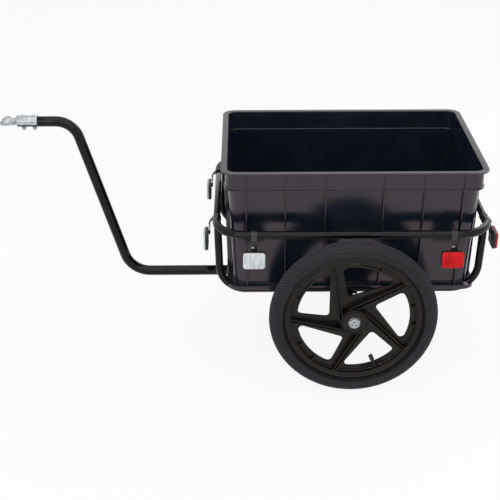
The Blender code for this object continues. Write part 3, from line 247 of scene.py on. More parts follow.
def start_finish(name, dark, light, mottle, rough, grain, grain_height, stretch=(1, 1, 1), sockets=None):
    """A finish of two close colours mottled at one size, with wandering roughness and a fine grain.

    Mottle, grain and grain height are in millimetres. The real grains are too fine to show in the
    render, so they are drawn as coarse as they need to. Sockets are values of the shader itself.
    """
    material = bpy.data.materials.new(name)
    material.use_nodes = True
    tree = material.node_tree
    shader = tree.nodes["Principled BSDF"]
    place = add_node(tree, "ShaderNodeTexCoord").outputs["Object"]
    drawn = add_node(tree, "ShaderNodeMapping", None, {"Vector": place, "Scale": stretch}).outputs["Vector"]
    clouds = add_node(tree, "ShaderNodeTexNoise", None,
                      {"Vector": drawn, "Scale": per_metre(mottle), "Detail": 4.0}).outputs["Fac"]
    spread = add_node(tree, "ShaderNodeMapRange", None,
                      {"Value": clouds, "From Min": 0.3, "From Max": 0.7}).outputs["Result"]
    colour = add_node(tree, "ShaderNodeMix", {"data_type": "RGBA"},
                      {"Factor": spread, "A": srgb(dark), "B": srgb(light)}).outputs["Result"]
    tree.links.new(colour, shader.inputs["Base Color"])
    gloss = add_node(tree, "ShaderNodeMapRange", None,
                     {"Value": clouds, "From Min": 0.3, "From Max": 0.7,
                      "To Min": rough[0], "To Max": rough[1]}).outputs["Result"]
    tree.links.new(gloss, shader.inputs["Roughness"])
    pebble = add_node(tree, "ShaderNodeTexNoise", None,
                      {"Vector": place, "Scale": per_metre(grain), "Detail": 2.0}).outputs["Fac"]
    bump = add_node(tree, "ShaderNodeBump", None,
                    {"Height": pebble, "Distance": grain_height / 1000, "Strength": 1.0})
    tree.links.new(bump.outputs["Normal"], shader.inputs["Normal"])
    for socket, value in (sockets or {}).items():
        shader.inputs[socket].default_value = value
    return material


def make_finishes():
    """All the finishes, by the record's slot."""
    finishes = {}

    # Injection moulded polypropylene, glossy black: long soft reflections with a slight ripple
    material = start_finish("black polypropylene", "111723", "171e2a", 60, (0.15, 0.23), 9, 0.05,
                            sockets={"Specular Tint": srgb("ffe9ec"), "Specular IOR Level": 0.67})
    tree = material.node_tree
    shader = tree.nodes["Principled BSDF"]
    place = tree.nodes["Texture Coordinate"].outputs["Object"]
    drawn = add_node(tree, "ShaderNodeMapping", None,
                     {"Vector": place, "Scale": (1, 1, 0.06)}).outputs["Vector"]
    streaks = add_node(tree, "ShaderNodeTexNoise", None,
                       {"Vector": drawn, "Scale": per_metre(7), "Detail": 3.0}).outputs["Fac"]
    ripple = add_node(tree, "ShaderNodeBump", None,
                      {"Height": streaks, "Distance": 0.00006, "Strength": 1.0,
                       "Normal": tree.nodes["Bump"].outputs["Normal"]})
    tree.links.new(ripple.outputs["Normal"], shader.inputs["Normal"])
    finishes["tub_plastic"] = material

    # Gloss black powder coat on steel tube: a hard highlight over fine orange peel
    finishes["black_paint"] = start_finish("black powder coat", "08080a", "0d0d10", 30, (0.05, 0.08), 2.2,
                                           0.008, sockets={"Specular IOR Level": 0.22})

    # Moulded nylon rim, satin black: a broad soft sheen from its spark-eroded face
    finishes["rim_plastic"] = start_finish("black moulded nylon", "110f0e", "181513", 25, (0.22, 0.32), 1.6,
                                           0.06, sockets={"Specular IOR Level": 0.25})

    # Vulcanised rubber with bloom: matt, with dusty grey tops on the tread blocks
    material = start_finish("tyre rubber", "101013", "1b1b1f", 14, (0.56, 0.74), 1.4, 0.12,
                            sockets={"Specular IOR Level": 0.35})
    tree = material.node_tree
    shader = tree.nodes["Principled BSDF"]
    plain = shader.inputs["Base Color"].links[0].from_socket
    worn = add_node(tree, "ShaderNodeAttribute", {"attribute_name": "worn"}).outputs["Fac"]
    dusty = add_node(tree, "ShaderNodeMix", {"data_type": "RGBA"},
                     {"Factor": worn, "A": plain, "B": srgb("38373d")}).outputs["Result"]
    tree.links.new(dusty, shader.inputs["Base Color"])
    finishes["tyre_rubber"] = material

    # Butyl rubber: smooth and slightly satin
    finishes["tube_rubber"] = start_finish("butyl rubber", "131313", "1c1b1b", 10, (0.5, 0.62), 1.2, 0.05)

    # Bright zinc plate on pressed steel: grey clouds and fine scratches
    finishes["zinc"] = start_finish("zinc plate", "9da1a4", "bec2c5", 9, (0.44, 0.58), 1.5, 0.03,
                                    sockets={"Metallic": 1.0})

    # Ground bearing steel: bright, with turning marks
    finishes["bearing_steel"] = start_finish("bearing steel", "8b8d8f", "a5a7a9", 5, (0.22, 0.34), 0.8, 0.02,
                                             (1, 6, 1), {"Metallic": 1.0})

    # Oiled dark steel: heat-treated grey with a brown cast
    finishes["dark_steel"] = start_finish("dark steel", "3a3836", "55524f", 5, (0.32, 0.48), 0.9, 0.04,
                                          sockets={"Metallic": 1.0})

    # Moulded trim plastic: fine grained satin black
    finishes["trim_plastic"] = start_finish("black trim plastic", "121213", "1b1b1c", 8, (0.36, 0.5), 0.9,
                                            0.05)

    # Clear acrylic over a prismatic back, pale silver with sparkling corner cubes, and red acrylic of the
    # same make. The colour mottle of both lenses is painted prism glint and painted shade, the red deeper as
    # painted shade where the prisms turn away; the cubes are drawn coarse enough to show
    for slot, name, dark, light in (("clear_lens", "clear prismatic acrylic", "c3c7cb", "f0f2f4"),
                                    ("red_lens", "red prismatic acrylic", "b00a10", "ea1b20")):
        # The mottle between the two tones is painted glint and painted shade of the prisms
        material = start_finish(name, dark, light, 4, (0.10, 0.16), 5, 0.01, (1, 1, 0.15),
                                {"IOR": 1.49, "Specular IOR Level": 0.2})
        tree = material.node_tree
        shader = tree.nodes["Principled BSDF"]
        place = tree.nodes["Texture Coordinate"].outputs["Object"]
        cubes = add_node(tree, "ShaderNodeTexVoronoi", {"feature": "F1", "distance": "CHEBYCHEV"},
                         {"Vector": place, "Scale": per_metre(2.4), "Randomness": 0.0}).outputs["Distance"]
        facets = add_node(tree, "ShaderNodeBump", None,
                          {"Height": cubes, "Distance": 0.0006, "Strength": 0.6,
                           "Normal": tree.nodes["Bump"].outputs["Normal"]})
        tree.links.new(facets.outputs["Normal"], shader.inputs["Normal"])
        finishes[slot] = material
    return finishes


# Mesh helpers

def new_verts(grown):
    """The vertices among what an operator made."""
    return [part for part in grown if isinstance(part, bmesh.types.BMVert)]


def new_edges(grown):
    """The edges among what an operator made that join its new vertices."""
    verts = set(new_verts(grown))
    return [part for part in grown if isinstance(part, bmesh.types.BMEdge)
            and all(vert in verts for vert in part.verts)]


def extend(bm, edges, shift):
    """Extrude a loop of edges along a vector and return the new loop."""
    grown = bmesh.ops.extrude_edge_only(bm, edges=edges)["geom"]
    bmesh.ops.translate(bm, verts=new_verts(grown), vec=shift)
    return new_edges(grown)


def shrink(bm, edges, share):
    """Extrude a loop of edges towards its own middle and return the new loop."""
    grown = bmesh.ops.extrude_edge_only(bm, edges=edges)["geom"]
    verts = new_verts(grown)
    middle = sum((vert.co for vert in verts), Vector()) / len(verts)
    bmesh.ops.scale(bm, verts=verts, vec=(share, share, share), space=Matrix.Translation(-middle))
    return new_edges(grown)


def fill(bm, edges):
    """Close a loop of edges with one face."""
    bmesh.ops.contextual_create(bm, geom=edges)


def tidy(bm):
    """Merge doubles and point all faces outwards."""
    bmesh.ops.remove_doubles(bm, verts=bm.verts, dist=0.000002)
    bm.normal_update()
    bmesh.ops.recalc_face_normals(bm, faces=bm.faces)


def soften(bm, width, limit=40, segments=2, chosen=None):
    """Round the edges that turn by more than the limit, all of them or the chosen ones."""
    edges = [edge for edge in bm.edges if edge.is_manifold and edge.calc_face_angle() > radians(limit)
             and (chosen is None or chosen(edge))]
    bmesh.ops.bevel(bm, geom=edges, offset=width, segments=segments, profile=0.5, affect="EDGES",
                    material=-1, clamp_overlap=True)


def add_loops(bm, rows):
    """A closed skin through rows of points, each row a loop with as many points as the last."""
    loops = [[bm.verts.new(point) for point in row] for row in rows]
    for here, there in zip(loops, loops[1:]):
        for i, vert in enumerate(here):
            bm.faces.new((here[i - 1], vert, there[i], there[i - 1]))
    bm.faces.new(loops[0])
    bm.faces.new(loops[-1])


def extrude_outline(bm, points, shift):
    """A face through the points, extruded along a vector."""
    face = bm.faces.new([bm.verts.new(point) for point in points])
    grown = bmesh.ops.extrude_face_region(bm, geom=[face])["geom"]
    bmesh.ops.translate(bm, verts=new_verts(grown), vec=shift)


def add_plate(bm, outline, low, high):
    """A flat outline given as (x, z), extruded along Y from low to high."""
    extrude_outline(bm, [(x, low, z) for x, z in outline], (0, high - low, 0))


def add_block(bm, place, size, turn=None):
    """A box of a size at a place, which may be turned about itself first."""
    matrix = Matrix.Translation(place) @ Matrix.Diagonal((*size, 1))
    bmesh.ops.create_cube(bm, size=1, matrix=matrix @ turn if turn else matrix)


def turned(profile, segments, closed=False):
    """A turned shape about Y from (radius, y) points; an open profile starts and ends on the axis."""
    bm = bmesh.new()
    points = [bm.verts.new((radius, y, 0)) for radius, y in profile]
    edges = [bm.edges.new(pair) for pair in zip(points, points[1:])]
    if closed:
        edges.append(bm.edges.new((points[-1], points[0])))
    bmesh.ops.spin(bm, geom=points + edges, cent=(0, 0, 0), axis=(0, 1, 0), angle=2 * pi,
                   steps=segments, use_merge=True)
    tidy(bm)
    return bm


def pour(target, source, matrix=None):
    """Add a copy of one bmesh to another, moved by a matrix."""
    mesh = bpy.data.meshes.new("part")
    source.to_mesh(mesh)
    if matrix is not None:
        mesh.transform(matrix)
    target.from_mesh(mesh)
    bpy.data.meshes.remove(mesh)


def combine(bm, *steps):
    """Boolean a bmesh with others, each given as (operation, bmesh), and return the new bmesh."""
    holders = []
    for shape in [bm] + [step[1] for step in steps]:
        mesh = bpy.data.meshes.new("shape")
        tidy(shape)
        shape.to_mesh(mesh)
        shape.free()
        holder = bpy.data.objects.new("shape", mesh)
        bpy.context.scene.collection.objects.link(holder)
        holders.append(holder)
    for step, holder in zip(steps, holders[1:]):
        change = holders[0].modifiers.new("change", "BOOLEAN")
        change.operation = step[0]
        change.object = holder
        change.solver = "EXACT"
    bpy.context.view_layer.update()
    result = bmesh.new()
    result.from_object(holders[0], bpy.context.evaluated_depsgraph_get())
    for holder in holders:
        mesh = holder.data
        bpy.data.objects.remove(holder)
        bpy.data.meshes.remove(mesh)
    bmesh.ops.remove_doubles(result, verts=result.verts, dist=0.000005)
    return result


def add_piece(name, bm, slot, body, nodes=(), smooth=38):
    """Finish a bmesh as a piece of the trailer that rides on a body and stands for its nodes."""
    mesh = bpy.data.meshes.new(name)
    tidy(bm)
    bm.to_mesh(mesh)
    bm.free()
    mesh.transform(Matrix.Translation((AXLE_X, 0, 0)))
    mesh.shade_smooth()
    mesh.set_sharp_from_angle(angle=radians(smooth))
    mesh.materials.append(FINISHES[slot])
    item = bpy.data.objects.new(name, mesh)
    bpy.context.scene.collection.objects.link(item)
    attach(item, body)
    if nodes:
        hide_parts(*nodes)


def round_corners(corners, radii, steps):
    """Outline with each corner replaced by an arc of its radius; 0 keeps the corner."""
    points = []
    count = len(corners)
    for i, (corner, radius) in enumerate(zip(corners, radii)):
        here = Vector(corner)
        if radius == 0:
            points.append(here)
            continue
        before = (Vector(corners[i - 1]) - here).normalized()
        after = (Vector(corners[(i + 1) % count]) - here).normalized()
        half_angle = before.angle(after) / 2
        centre = here + (before + after).normalized() * radius / sin(half_angle)
        start = here + before * radius / tan(half_angle) - centre
        end = here + after * radius / tan(half_angle) - centre
        sweep = pi - 2 * half_angle
        for step in range(steps + 1):
            part = step / steps
            points.append(centre + (start * sin((1 - part) * sweep) + end * sin(part * sweep)) / sin(sweep))
    return points


def rounded_rectangle(half_across, half_up, corner, steps=CORNER_STEPS):
    """Outline of a rectangle with round corners."""
    corners = ((half_across, -half_up), (half_across, half_up), (-half_across, half_up),
               (-half_across, -half_up))
    return round_corners(corners, [corner] * 4, steps)


# Tub

def tub_loop(inset, corner, z):
    """Level loop of the tub at an inset from its rim."""
    outline = rounded_rectangle(TUB_HALF_LENGTH - inset, TUB_HALF_WIDTH - inset, corner)
    return [(TUB_MIDDLE_X + x, y, z) for x, y in outline]


def add_ribs(bm, feet, insets, heights):
    """One storey of ribs: three each side of the middle on the long walls, two on the ends.

    Insets are (root, edge) and heights are levels, both for the foot and then the top of a rib.
    """
    hands = [(wall, side) for wall in (-1, 1) for side in (-1, 1)]
    spots = [(side * foot, side * top, wall, True) for wall, side in hands
             for foot, top in zip(feet, SIDE_RIB_TOPS)]
    spots += [(side * rib, side * rib, wall, False) for wall, side in hands for rib in END_RIBS]
    for foot, top, wall, on_side in spots:
        half = TUB_HALF_WIDTH if on_side else TUB_HALF_LENGTH
        for vert in bmesh.ops.create_cube(bm, size=1)["verts"]:
            level = 1 if vert.co.z > 0 else 0
            root, edge = insets[level]
            reach = wall * (half - (edge if vert.co.y > 0 else root + RIB_BITE))
            along = (foot, top)[level] + vert.co.x * RIB_THICKNESS
            flat = (along, reach) if on_side else (reach, along)
            vert.co = (TUB_MIDDLE_X + flat[0], flat[1], heights[level])


def hoop_corners(side):
    """Corners of one hoop's route, from its front leg's top to its rear leg's top."""
    y = side * HOOP_Y
    (front_top, front_foot), (rear_top, rear_foot) = HOOP_LEGS
    top = RING_HEIGHT - HOOP_DROP
    return [(front_top, y, top), (front_foot, y, HOOP_HEIGHT),
            (rear_foot, y, HOOP_HEIGHT), (rear_top, y, top)]


def build_tub():
    """The tub with its rim, collar, ribs and plinth, and the seats moulded round the hoop bends."""
    inner_inset = WALL_INSET_FOOT + TUB_WALL
    floor = TUB_FOOT + TUB_WALL
    band_lean = (COLLAR_INNER_INSET - TUB_LAND) / (TUB_TOP - STEP_FOOT - INNER_STEP) * FLAT_MARGIN
    wall_lean = (inner_inset - WALL_INNER_INSET) / (STEP_FOOT - floor - FLOOR_FILLET) * FLAT_MARGIN
    bm = bmesh.new()
    add_loops(bm, [
        tub_loop(PLINTH_INSET + FLAT_MARGIN, RIM_CORNER, TUB_FOOT),
        tub_loop(PLINTH_INSET, RIM_CORNER, TUB_FOOT),
        tub_loop(PLINTH_INSET, RIM_CORNER, PLINTH_TOP),
        tub_loop(WALL_INSET_FOOT, WALL_CORNER, PLINTH_TOP),
        tub_loop(WALL_INSET_TOP, WALL_CORNER, STEP_FOOT),
        tub_loop(STEP_INSET, RIM_CORNER, STEP_FOOT),
        tub_loop(STEP_INSET, RIM_CORNER, COLLAR_FOOT),
        tub_loop(COLLAR_INSET, COLLAR_CORNER, COLLAR_FOOT),
        tub_loop(COLLAR_INSET, COLLAR_CORNER, TUB_TOP - TUB_LIP),
        tub_loop(0.0, RIM_CORNER, TUB_TOP - TUB_LIP),
        tub_loop(0.0, RIM_CORNER, TUB_TOP),
        tub_loop(TUB_LAND, INNER_CORNER, TUB_TOP),
        tub_loop(TUB_LAND + band_lean, INNER_CORNER, TUB_TOP - FLAT_MARGIN),
        tub_loop(COLLAR_INNER_INSET - band_lean, INNER_CORNER, STEP_FOOT + INNER_STEP + FLAT_MARGIN),
        tub_loop(COLLAR_INNER_INSET, INNER_CORNER, STEP_FOOT + INNER_STEP),
        tub_loop(WALL_INNER_INSET, INNER_CORNER, STEP_FOOT),
        tub_loop(WALL_INNER_INSET + wall_lean, INNER_CORNER, STEP_FOOT - FLAT_MARGIN),
        tub_loop(inner_inset - wall_lean, INNER_CORNER, floor + FLOOR_FILLET + FLAT_MARGIN),
        tub_loop(inner_inset, INNER_CORNER, floor + FLOOR_FILLET),
        tub_loop(inner_inset + FLOOR_FILLET, INNER_CORNER, floor),
        tub_loop(inner_inset + FLOOR_FILLET + FLAT_MARGIN, INNER_CORNER, floor),
    ])
    tidy(bm)
    soften(bm, TUB_ROUNDING, limit=30, segments=3)

    ribs = bmesh.new()
    add_ribs(ribs, SIDE_RIB_FEET, RIB_INSETS, (PLINTH_TOP - RIB_LAP, STEP_FOOT + RIB_LAP))
    collar = ((COLLAR_INSET, COLLAR_RIB_INSET),) * 2
    add_ribs(ribs, SIDE_RIB_TOPS, collar, (COLLAR_FOOT - RIB_LAP, TUB_TOP - TUB_LIP + RIB_LAP))
    tidy(ribs)
    soften(ribs, TUB_ROUNDING, limit=30, segments=3)

    seats = bmesh.new()
    tunnels = bmesh.new()
    slots = bmesh.new()
    for side in (-1, 1):
        corners = [Vector(corner) for corner in hoop_corners(side)]
        for leg, foot, next_foot in (corners[:3], corners[:0:-1]):
            down = (foot - leg).normalized()
            along = (next_foot - foot).normalized()
            reach = HOOP_BEND * tan(down.angle(along) / 2)
            route = [foot - down * (reach + SEAT_REACH), foot, foot + along * (reach + SEAT_REACH)]
            half = HOOP_RADIUS + SEAT_CLEAR
            add_tube(seats, route, [HOOP_BEND], half + TUB_WALL)
            add_tube(tunnels, route, [HOOP_BEND], half)
            outline = slot_outline(foot, down, along)
            add_plate(slots, outline, side * HOOP_Y - half, side * HOOP_Y + half)
    limit = bmesh.new()
    high = HOOP_HEIGHT + HOOP_BEND + HOOP_RADIUS
    rise = (high - PLINTH_TOP) / (STEP_FOOT - PLINTH_TOP)
    high_inset = WALL_INSET_FOOT + (WALL_INSET_TOP - WALL_INSET_FOOT) * rise
    add_loops(limit, [tub_loop(WALL_INSET_FOOT + TUB_WALL / 2, WALL_CORNER, TUB_FOOT + TUB_WALL / 2),
                      tub_loop(high_inset + TUB_WALL / 2, WALL_CORNER, high)])
    seats = combine(seats, ("INTERSECT", limit))
    bm = combine(bm, ("UNION", ribs), ("UNION", seats), ("DIFFERENCE", tunnels), ("DIFFERENCE", slots))
    add_piece("tub_moulding", bm, "tub_plastic", "tub", ["cargo_box"], smooth=32)


def slot_outline(foot, down, along):
    """Outline in X and Z of the slot below a hoop bend, down through the plinth."""
    reach = HOOP_BEND * tan(down.angle(along) / 2)
    start = foot - down * reach
    centre = start + Vector((along.x, 0, 0)).normalized() * HOOP_BEND
    points = []
    for step in range(BEND_STEPS + 1):
        angle = pi / 2 * step / BEND_STEPS
        points.append((centre.x - along.x * HOOP_BEND * cos(angle), centre.z - HOOP_BEND * sin(angle)))
    low = HOOP_HEIGHT - 2 * HOOP_RADIUS
    return points + [(points[-1][0], low), (points[0][0], low)]


# Tubes

def add_tube(bm, corners, bends, radius, wall=0.0):
    """A round tube through corners with a bend radius at each; a wall opens both its ends."""
    points = [Vector(corner) for corner in corners]
    heading = (points[1] - points[0]).normalized()
    turn = Vector((0, 0, 1)).rotation_difference(heading).to_matrix().to_4x4()
    made = bmesh.ops.create_circle(bm, cap_ends=False, segments=TUBE_SIDES, radius=radius,
                                   matrix=Matrix.Translation(points[0]) @ turn)["verts"]
    first = list(dict.fromkeys(edge for vert in made for edge in vert.link_edges))
    edges = first
    here = points[0]
    for i, bend in enumerate(bends, 1):
        before = (points[i] - points[i - 1]).normalized()
        after = (points[i + 1] - points[i]).normalized()
        angle = before.angle(after)
        reach = bend * tan(angle / 2)
        edges = extend(bm, edges, points[i] - before * reach - here)
        normal = before.cross(after).normalized()
        centre = points[i] - before * reach + normal.cross(before) * bend
        verts = list(dict.fromkeys(vert for edge in edges for vert in edge.verts))
        steps = max(3, round(BEND_STEPS * angle / (pi / 2)))
        grown = bmesh.ops.spin(bm, geom=verts + edges, cent=centre, axis=normal, angle=angle, steps=steps)
        edges = [part for part in grown["geom_last"] if isinstance(part, bmesh.types.BMEdge)]
        here = points[i] + after * reach
    edges = extend(bm, edges, points[-1] - here)
    last_heading = (points[-1] - points[-2]).normalized()
    for loop, inward in ((first, heading), (edges, -last_heading)):
        if wall:
            loop = shrink(bm, loop, (radius - wall) / radius)
            loop = extend(bm, loop, inward * radius)
        fill(bm, loop)


def add_tube_piece(name, corners, bends, radius, node, wall=TUBE_WALL):
    """One painted tube of the frame as a piece that stands for its node."""
    bm = bmesh.new()
    add_tube(bm, corners, bends, radius, wall)
    tidy(bm)
    soften(bm, 0.0003, limit=50)
    add_piece(name, bm, "black_paint", "frame", [node])


def build_frame_tubes():
    """The ring of rails and bars, the hoops, the cross tubes and the drawbar."""
    for side, word in ((-1, "left"), (1, "right")):
        y = side * RING_HALF_WIDTH
        end = side * RAIL_END_Y
        z = RING_HEIGHT
        rail = [(FRONT_BAR_X, end, z), (FRONT_BAR_X, y, z), (REAR_BAR_X, y, z), (REAR_BAR_X, end, z)]
        add_tube_piece(word + "_rail_tube", rail, [RING_BEND] * 2, RAIL_RADIUS, word + "_rail")
        add_tube_piece(word + "_hoop_tube", hoop_corners(side), [HOOP_BEND] * 2, HOOP_RADIUS, word + "_hoop",
                       wall=0)
    reach = RAIL_END_Y + BAR_BITE
    for x, word in ((FRONT_BAR_X, "front"), (REAR_BAR_X, "rear")):
        route = [(x, -reach, RING_HEIGHT), (x, reach, RING_HEIGHT)]
        add_tube_piece(word + "_bar_tube", route, [], BAR_RADIUS, word + "_bar")
    reach = HOOP_Y - CROSS_BITE
    for x, word in zip(CROSS_TUBE_XS, ("front", "rear")):
        route = [(x, -reach, HOOP_HEIGHT), (x, reach, HOOP_HEIGHT)]
        add_tube_piece(word + "_cross_member", route, [], CROSS_RADIUS, word + "_cross_tube", wall=0)
    add_tube_piece("drawbar_tube", DRAWBAR_CORNERS, DRAWBAR_BENDS, DRAWBAR_RADIUS, "drawbar")


# Wheels

def polar(radius, angle):
    """A point of the wheel plane as (x, z)."""
    return (radius * cos(angle), radius * sin(angle))


def add_wheel_bar(bm, start, end, half_thickness, start_height, end_height):
    """A straight rib in the wheel plane that stands out on both faces."""
    start = Vector(start)
    end = Vector(end)
    along = (end - start).normalized()
    across = Vector((-along.y, along.x)) * half_thickness
    for vert in bmesh.ops.create_cube(bm, size=2)["verts"]:
        spot, height = (end, end_height) if vert.co.x > 0 else (start, start_height)
        flat = spot + across * vert.co.z
        vert.co = (flat.x, vert.co.y * height, flat.y)


def rim_section():
    """Half section of hub, web and tyre channel, mirrored to a closed (radius, y) profile."""
    half = [
        (0.0150, 0.0158), (0.0178, 0.0158), (0.0178, HUB_HALF_WIDTH - 0.0006), (0.0184, HUB_HALF_WIDTH),
        (0.0258, HUB_HALF_WIDTH), (0.0264, HUB_HALF_WIDTH - 0.0006), (0.0264, HUB_HALF_WIDTH - 0.0022),
        (0.0282, HUB_HALF_WIDTH - 0.0022), (0.0282, HUB_HALF_WIDTH - 0.0006), (0.0288, HUB_HALF_WIDTH),
        (HUB_RADIUS - 0.0012, HUB_HALF_WIDTH), (HUB_RADIUS, HUB_HALF_WIDTH - 0.0012),
        (HUB_RADIUS + 0.0010, 0.0090), (HUB_RADIUS + 0.0040, WEB_HALF + 0.0006),
        (HUB_RADIUS + 0.0070, WEB_HALF),
        (RIM_BAND - 0.0020, WEB_HALF), (RIM_BAND - 0.0003, WEB_HALF + 0.0014),
        (RIM_BAND, RIM_HALF_WIDTH - 0.0010), (RIM_BAND + 0.0010, RIM_HALF_WIDTH),
        (RIM_BED - 0.0008, RIM_HALF_WIDTH), (RIM_BED, RIM_HALF_WIDTH - 0.0008),
        (RIM_BEAD - 0.0016, RIM_HALF_WIDTH - 0.0010), (RIM_BEAD - 0.0009, RIM_HALF_WIDTH - 0.0003),
        (RIM_BEAD, RIM_HALF_WIDTH), (RIM_BEAD + 0.0009, RIM_HALF_WIDTH - 0.0003),
        (RIM_BEAD + 0.0016, RIM_HALF_WIDTH - 0.0010), (RIM_FLANGE - 0.0016, RIM_HALF_WIDTH - 0.0012),
        (RIM_FLANGE, RIM_HALF_WIDTH - 0.0022),
        (RIM_FLANGE, 0.0112), (RIM_FLANGE - 0.0008, 0.0108), (RIM_BED, 0.0107),
    ]
    return half + [(radius, -y) for radius, y in reversed(half)]


def build_rim():
    """The five-spoke rim about the origin: turned hub, web and channel, windows, ridges, gussets."""
    bm = turned(rim_section(), WHEEL_SEGMENTS, closed=True)
    windows = bmesh.new()
    for spoke in range(SPOKES):
        start = WINDOW_START - 2 * pi * spoke / SPOKES
        between = WINDOW_SWEEP - 2 * WINDOW_REST
        sweeps = [WINDOW_REST + between * i / WINDOW_STEPS for i in range(WINDOW_STEPS + 1)]
        sweeps = [0, *sweeps, WINDOW_SWEEP]
        corners = [polar(WINDOW_INNER, start + WINDOW_LEAD)]
        corners += [polar(WINDOW_OUTER, start - sweep) for sweep in sweeps]
        radii = [WINDOW_CORNER, WINDOW_CORNER, *[0] * (len(sweeps) - 2), WINDOW_CORNER]
        add_plate(windows, round_corners(corners, radii, 6), -2 * RIM_HALF_WIDTH, 2 * RIM_HALF_WIDTH)
    bm = combine(bm, ("DIFFERENCE", windows))
    bmesh.ops.recalc_face_normals(bm, faces=bm.faces)

    def at_window(edge):
        """An edge of the web's face on a window."""
        middle = (edge.verts[0].co + edge.verts[1].co) / 2
        radius = sqrt(middle.x ** 2 + middle.z ** 2)
        return abs(abs(middle.y) - WEB_HALF) < 0.0001 and 0.045 < radius < WINDOW_OUTER + 0.002

    soften(bm, 0.0013, limit=70, segments=3, chosen=at_window)
    root = (RIM_BAND + RIM_BED) / 2
    for spoke in range(SPOKES):
        ribs = bmesh.new()
        turn = 2 * pi * spoke / SPOKES
        foot = RIDGE_START + acos(RIDGE_OFFSETS[0] / root) - turn
        for offset, height in zip(RIDGE_OFFSETS, RIDGE_HUB_HEIGHTS):
            start = polar(root, foot - acos(offset / root))
            add_wheel_bar(ribs, start, polar(offset, foot), RIDGE_HALF_THICKNESS, RIDGE_RIM_HEIGHT, height)
        for hand in (-1, 1):
            ray = GUSSET_MIDDLE + hand * GUSSET_SPREAD - turn
            add_wheel_bar(ribs, polar(root, ray), polar(GUSSET_INNER, ray), GUSSET_HALF_THICKNESS,
                          GUSSET_RIM_HEIGHT, GUSSET_INNER_HEIGHT)
        tidy(ribs)
        soften(ribs, 0.0009, limit=60, segments=3)
        pad = bmesh.new()
        rays = [GUSSET_MIDDLE - turn + GUSSET_SPREAD * (2 * i / PAD_STEPS - 1) for i in range(PAD_STEPS + 1)]
        outline = [polar(PAD_RADII[0], ray) for ray in rays]
        outline += [polar(PAD_RADII[1], ray) for ray in reversed(rays)]
        add_plate(pad, outline, -PAD_HEIGHT, PAD_HEIGHT)
        tidy(pad)
        soften(pad, 0.0006, limit=60)
        bm = combine(bm, ("UNION", ribs), ("UNION", pad))
    boss = turned([(0, 0.1385), (0.0066, 0.1385), (0.0076, 0.1395), (0.0080, 0.1470), (0, 0.1470)], 32)
    hole = turned([(0, 0.118), (0.0034, 0.118), (0.0034, 0.163), (0, 0.163)], 20)
    for shape in (boss, hole):
        shape.transform(Matrix.Rotation(-VALVE_ANGLE, 4, "Y") @ Matrix.Rotation(-pi / 2, 4, "Z"))
    return combine(bm, ("UNION", boss), ("DIFFERENCE", hole))


def tyre_section():
    """Closed (radius, y) section of the casing, with ring beads on the sidewalls."""
    middle = TYRE_RADIUS - TYRE_SECTION
    outer = []
    for degree in range(-112, 113, 4):
        away = abs(degree)
        rise = -TREAD_DEPTH if away < 54 else 0.0
        if away in (68, 92):
            rise = 0.0007
        if away == 80:
            rise = -0.0004
        reach = TYRE_SECTION + rise
        outer.append((middle + reach * cos(radians(degree)), reach * sin(radians(degree))))
    shoulder = [(0.1644, 0.0158), (0.1634, 0.0128), (0.1628, 0.0110), (0.1616, 0.0106), (0.1502, 0.0104),
                (0.1502, 0.0068), (0.1668, 0.0068)]
    inner = [(middle + TYRE_INNER_SECTION * cos(radians(degree)), TYRE_INNER_SECTION * sin(radians(degree)))
             for degree in range(104, -105, -13)]
    return outer + shoulder + inner + [(radius, -y) for radius, y in reversed(shoulder)]


def build_tyre():
    """The tyre about the origin: a turned casing and rows of small tread blocks."""
    bm = turned(tyre_section(), WHEEL_SEGMENTS, closed=True)
    middle = TYRE_RADIUS - TYRE_SECTION
    pitch = 2 * pi / TREAD_PITCHES
    height = TREAD_DEPTH + 0.0008
    bm.faces.layers.float.new("worn")
    blocks = bmesh.new()
    worn = blocks.faces.layers.float.new("worn")
    for degree, offset, length, width in TREAD_ROWS:
        matrix = (Matrix.Rotation(offset * pitch, 4, "Y") @ Matrix.Translation((middle, 0, 0))
                  @ Matrix.Rotation(radians(degree), 4, "Z")
                  @ Matrix.Translation((TYRE_SECTION - height / 2, 0, 0))
                  @ Matrix.Diagonal((height, width, length, 1)))
        bmesh.ops.create_cube(blocks, size=1, matrix=matrix)
    bmesh.ops.recalc_face_normals(blocks, faces=blocks.faces)
    soften(blocks, 0.0004, limit=60, segments=1)
    for face in blocks.faces:
        face[worn] = 1.0
    geometry = blocks.verts[:] + blocks.edges[:] + blocks.faces[:]
    bmesh.ops.spin(blocks, geom=geometry, cent=(0, 0, 0), axis=(0, 1, 0), use_duplicate=True,
                   angle=2 * pi * (1 - 1 / TREAD_PITCHES), steps=TREAD_PITCHES - 1)
    pour(bm, blocks)
    blocks.free()
    return bm


def build_valve():
    """Valve stem with its cap, about the origin, pointing in from the rim bed."""
    profile = [(0, 0.1130), (0.0042, 0.1130), (0.0051, 0.1140), (0.0052, 0.1256), (0.0046, 0.1266),
               (0.0030, 0.1267), (0.0030, 0.1280), (0.0033, 0.1284), (0.0033, 0.1500), (0, 0.1500)]
    bm = turned(profile, 24)
    bm.transform(Matrix.Rotation(-VALVE_ANGLE, 4, "Y") @ Matrix.Rotation(-pi / 2, 4, "Z"))
    return bm


def hex_nut(across_flats, low, high, chamfer):
    """A hex nut about Y with its corners chamfered on the outer face."""
    bm = bmesh.new()
    corner = across_flats / 2 / cos(pi / 6)
    add_plate(bm, [polar(corner, pi * (i + 0.5) / 3) for i in range(6)], low, high)
    dome = [(0, low - 0.001), (corner + 0.001, low - 0.001), (corner + 0.001, high - chamfer - 0.001),
            (across_flats / 2 * 0.96, high), (0, high)]
    return combine(bm, ("INTERSECT", turned(dome, 48)))


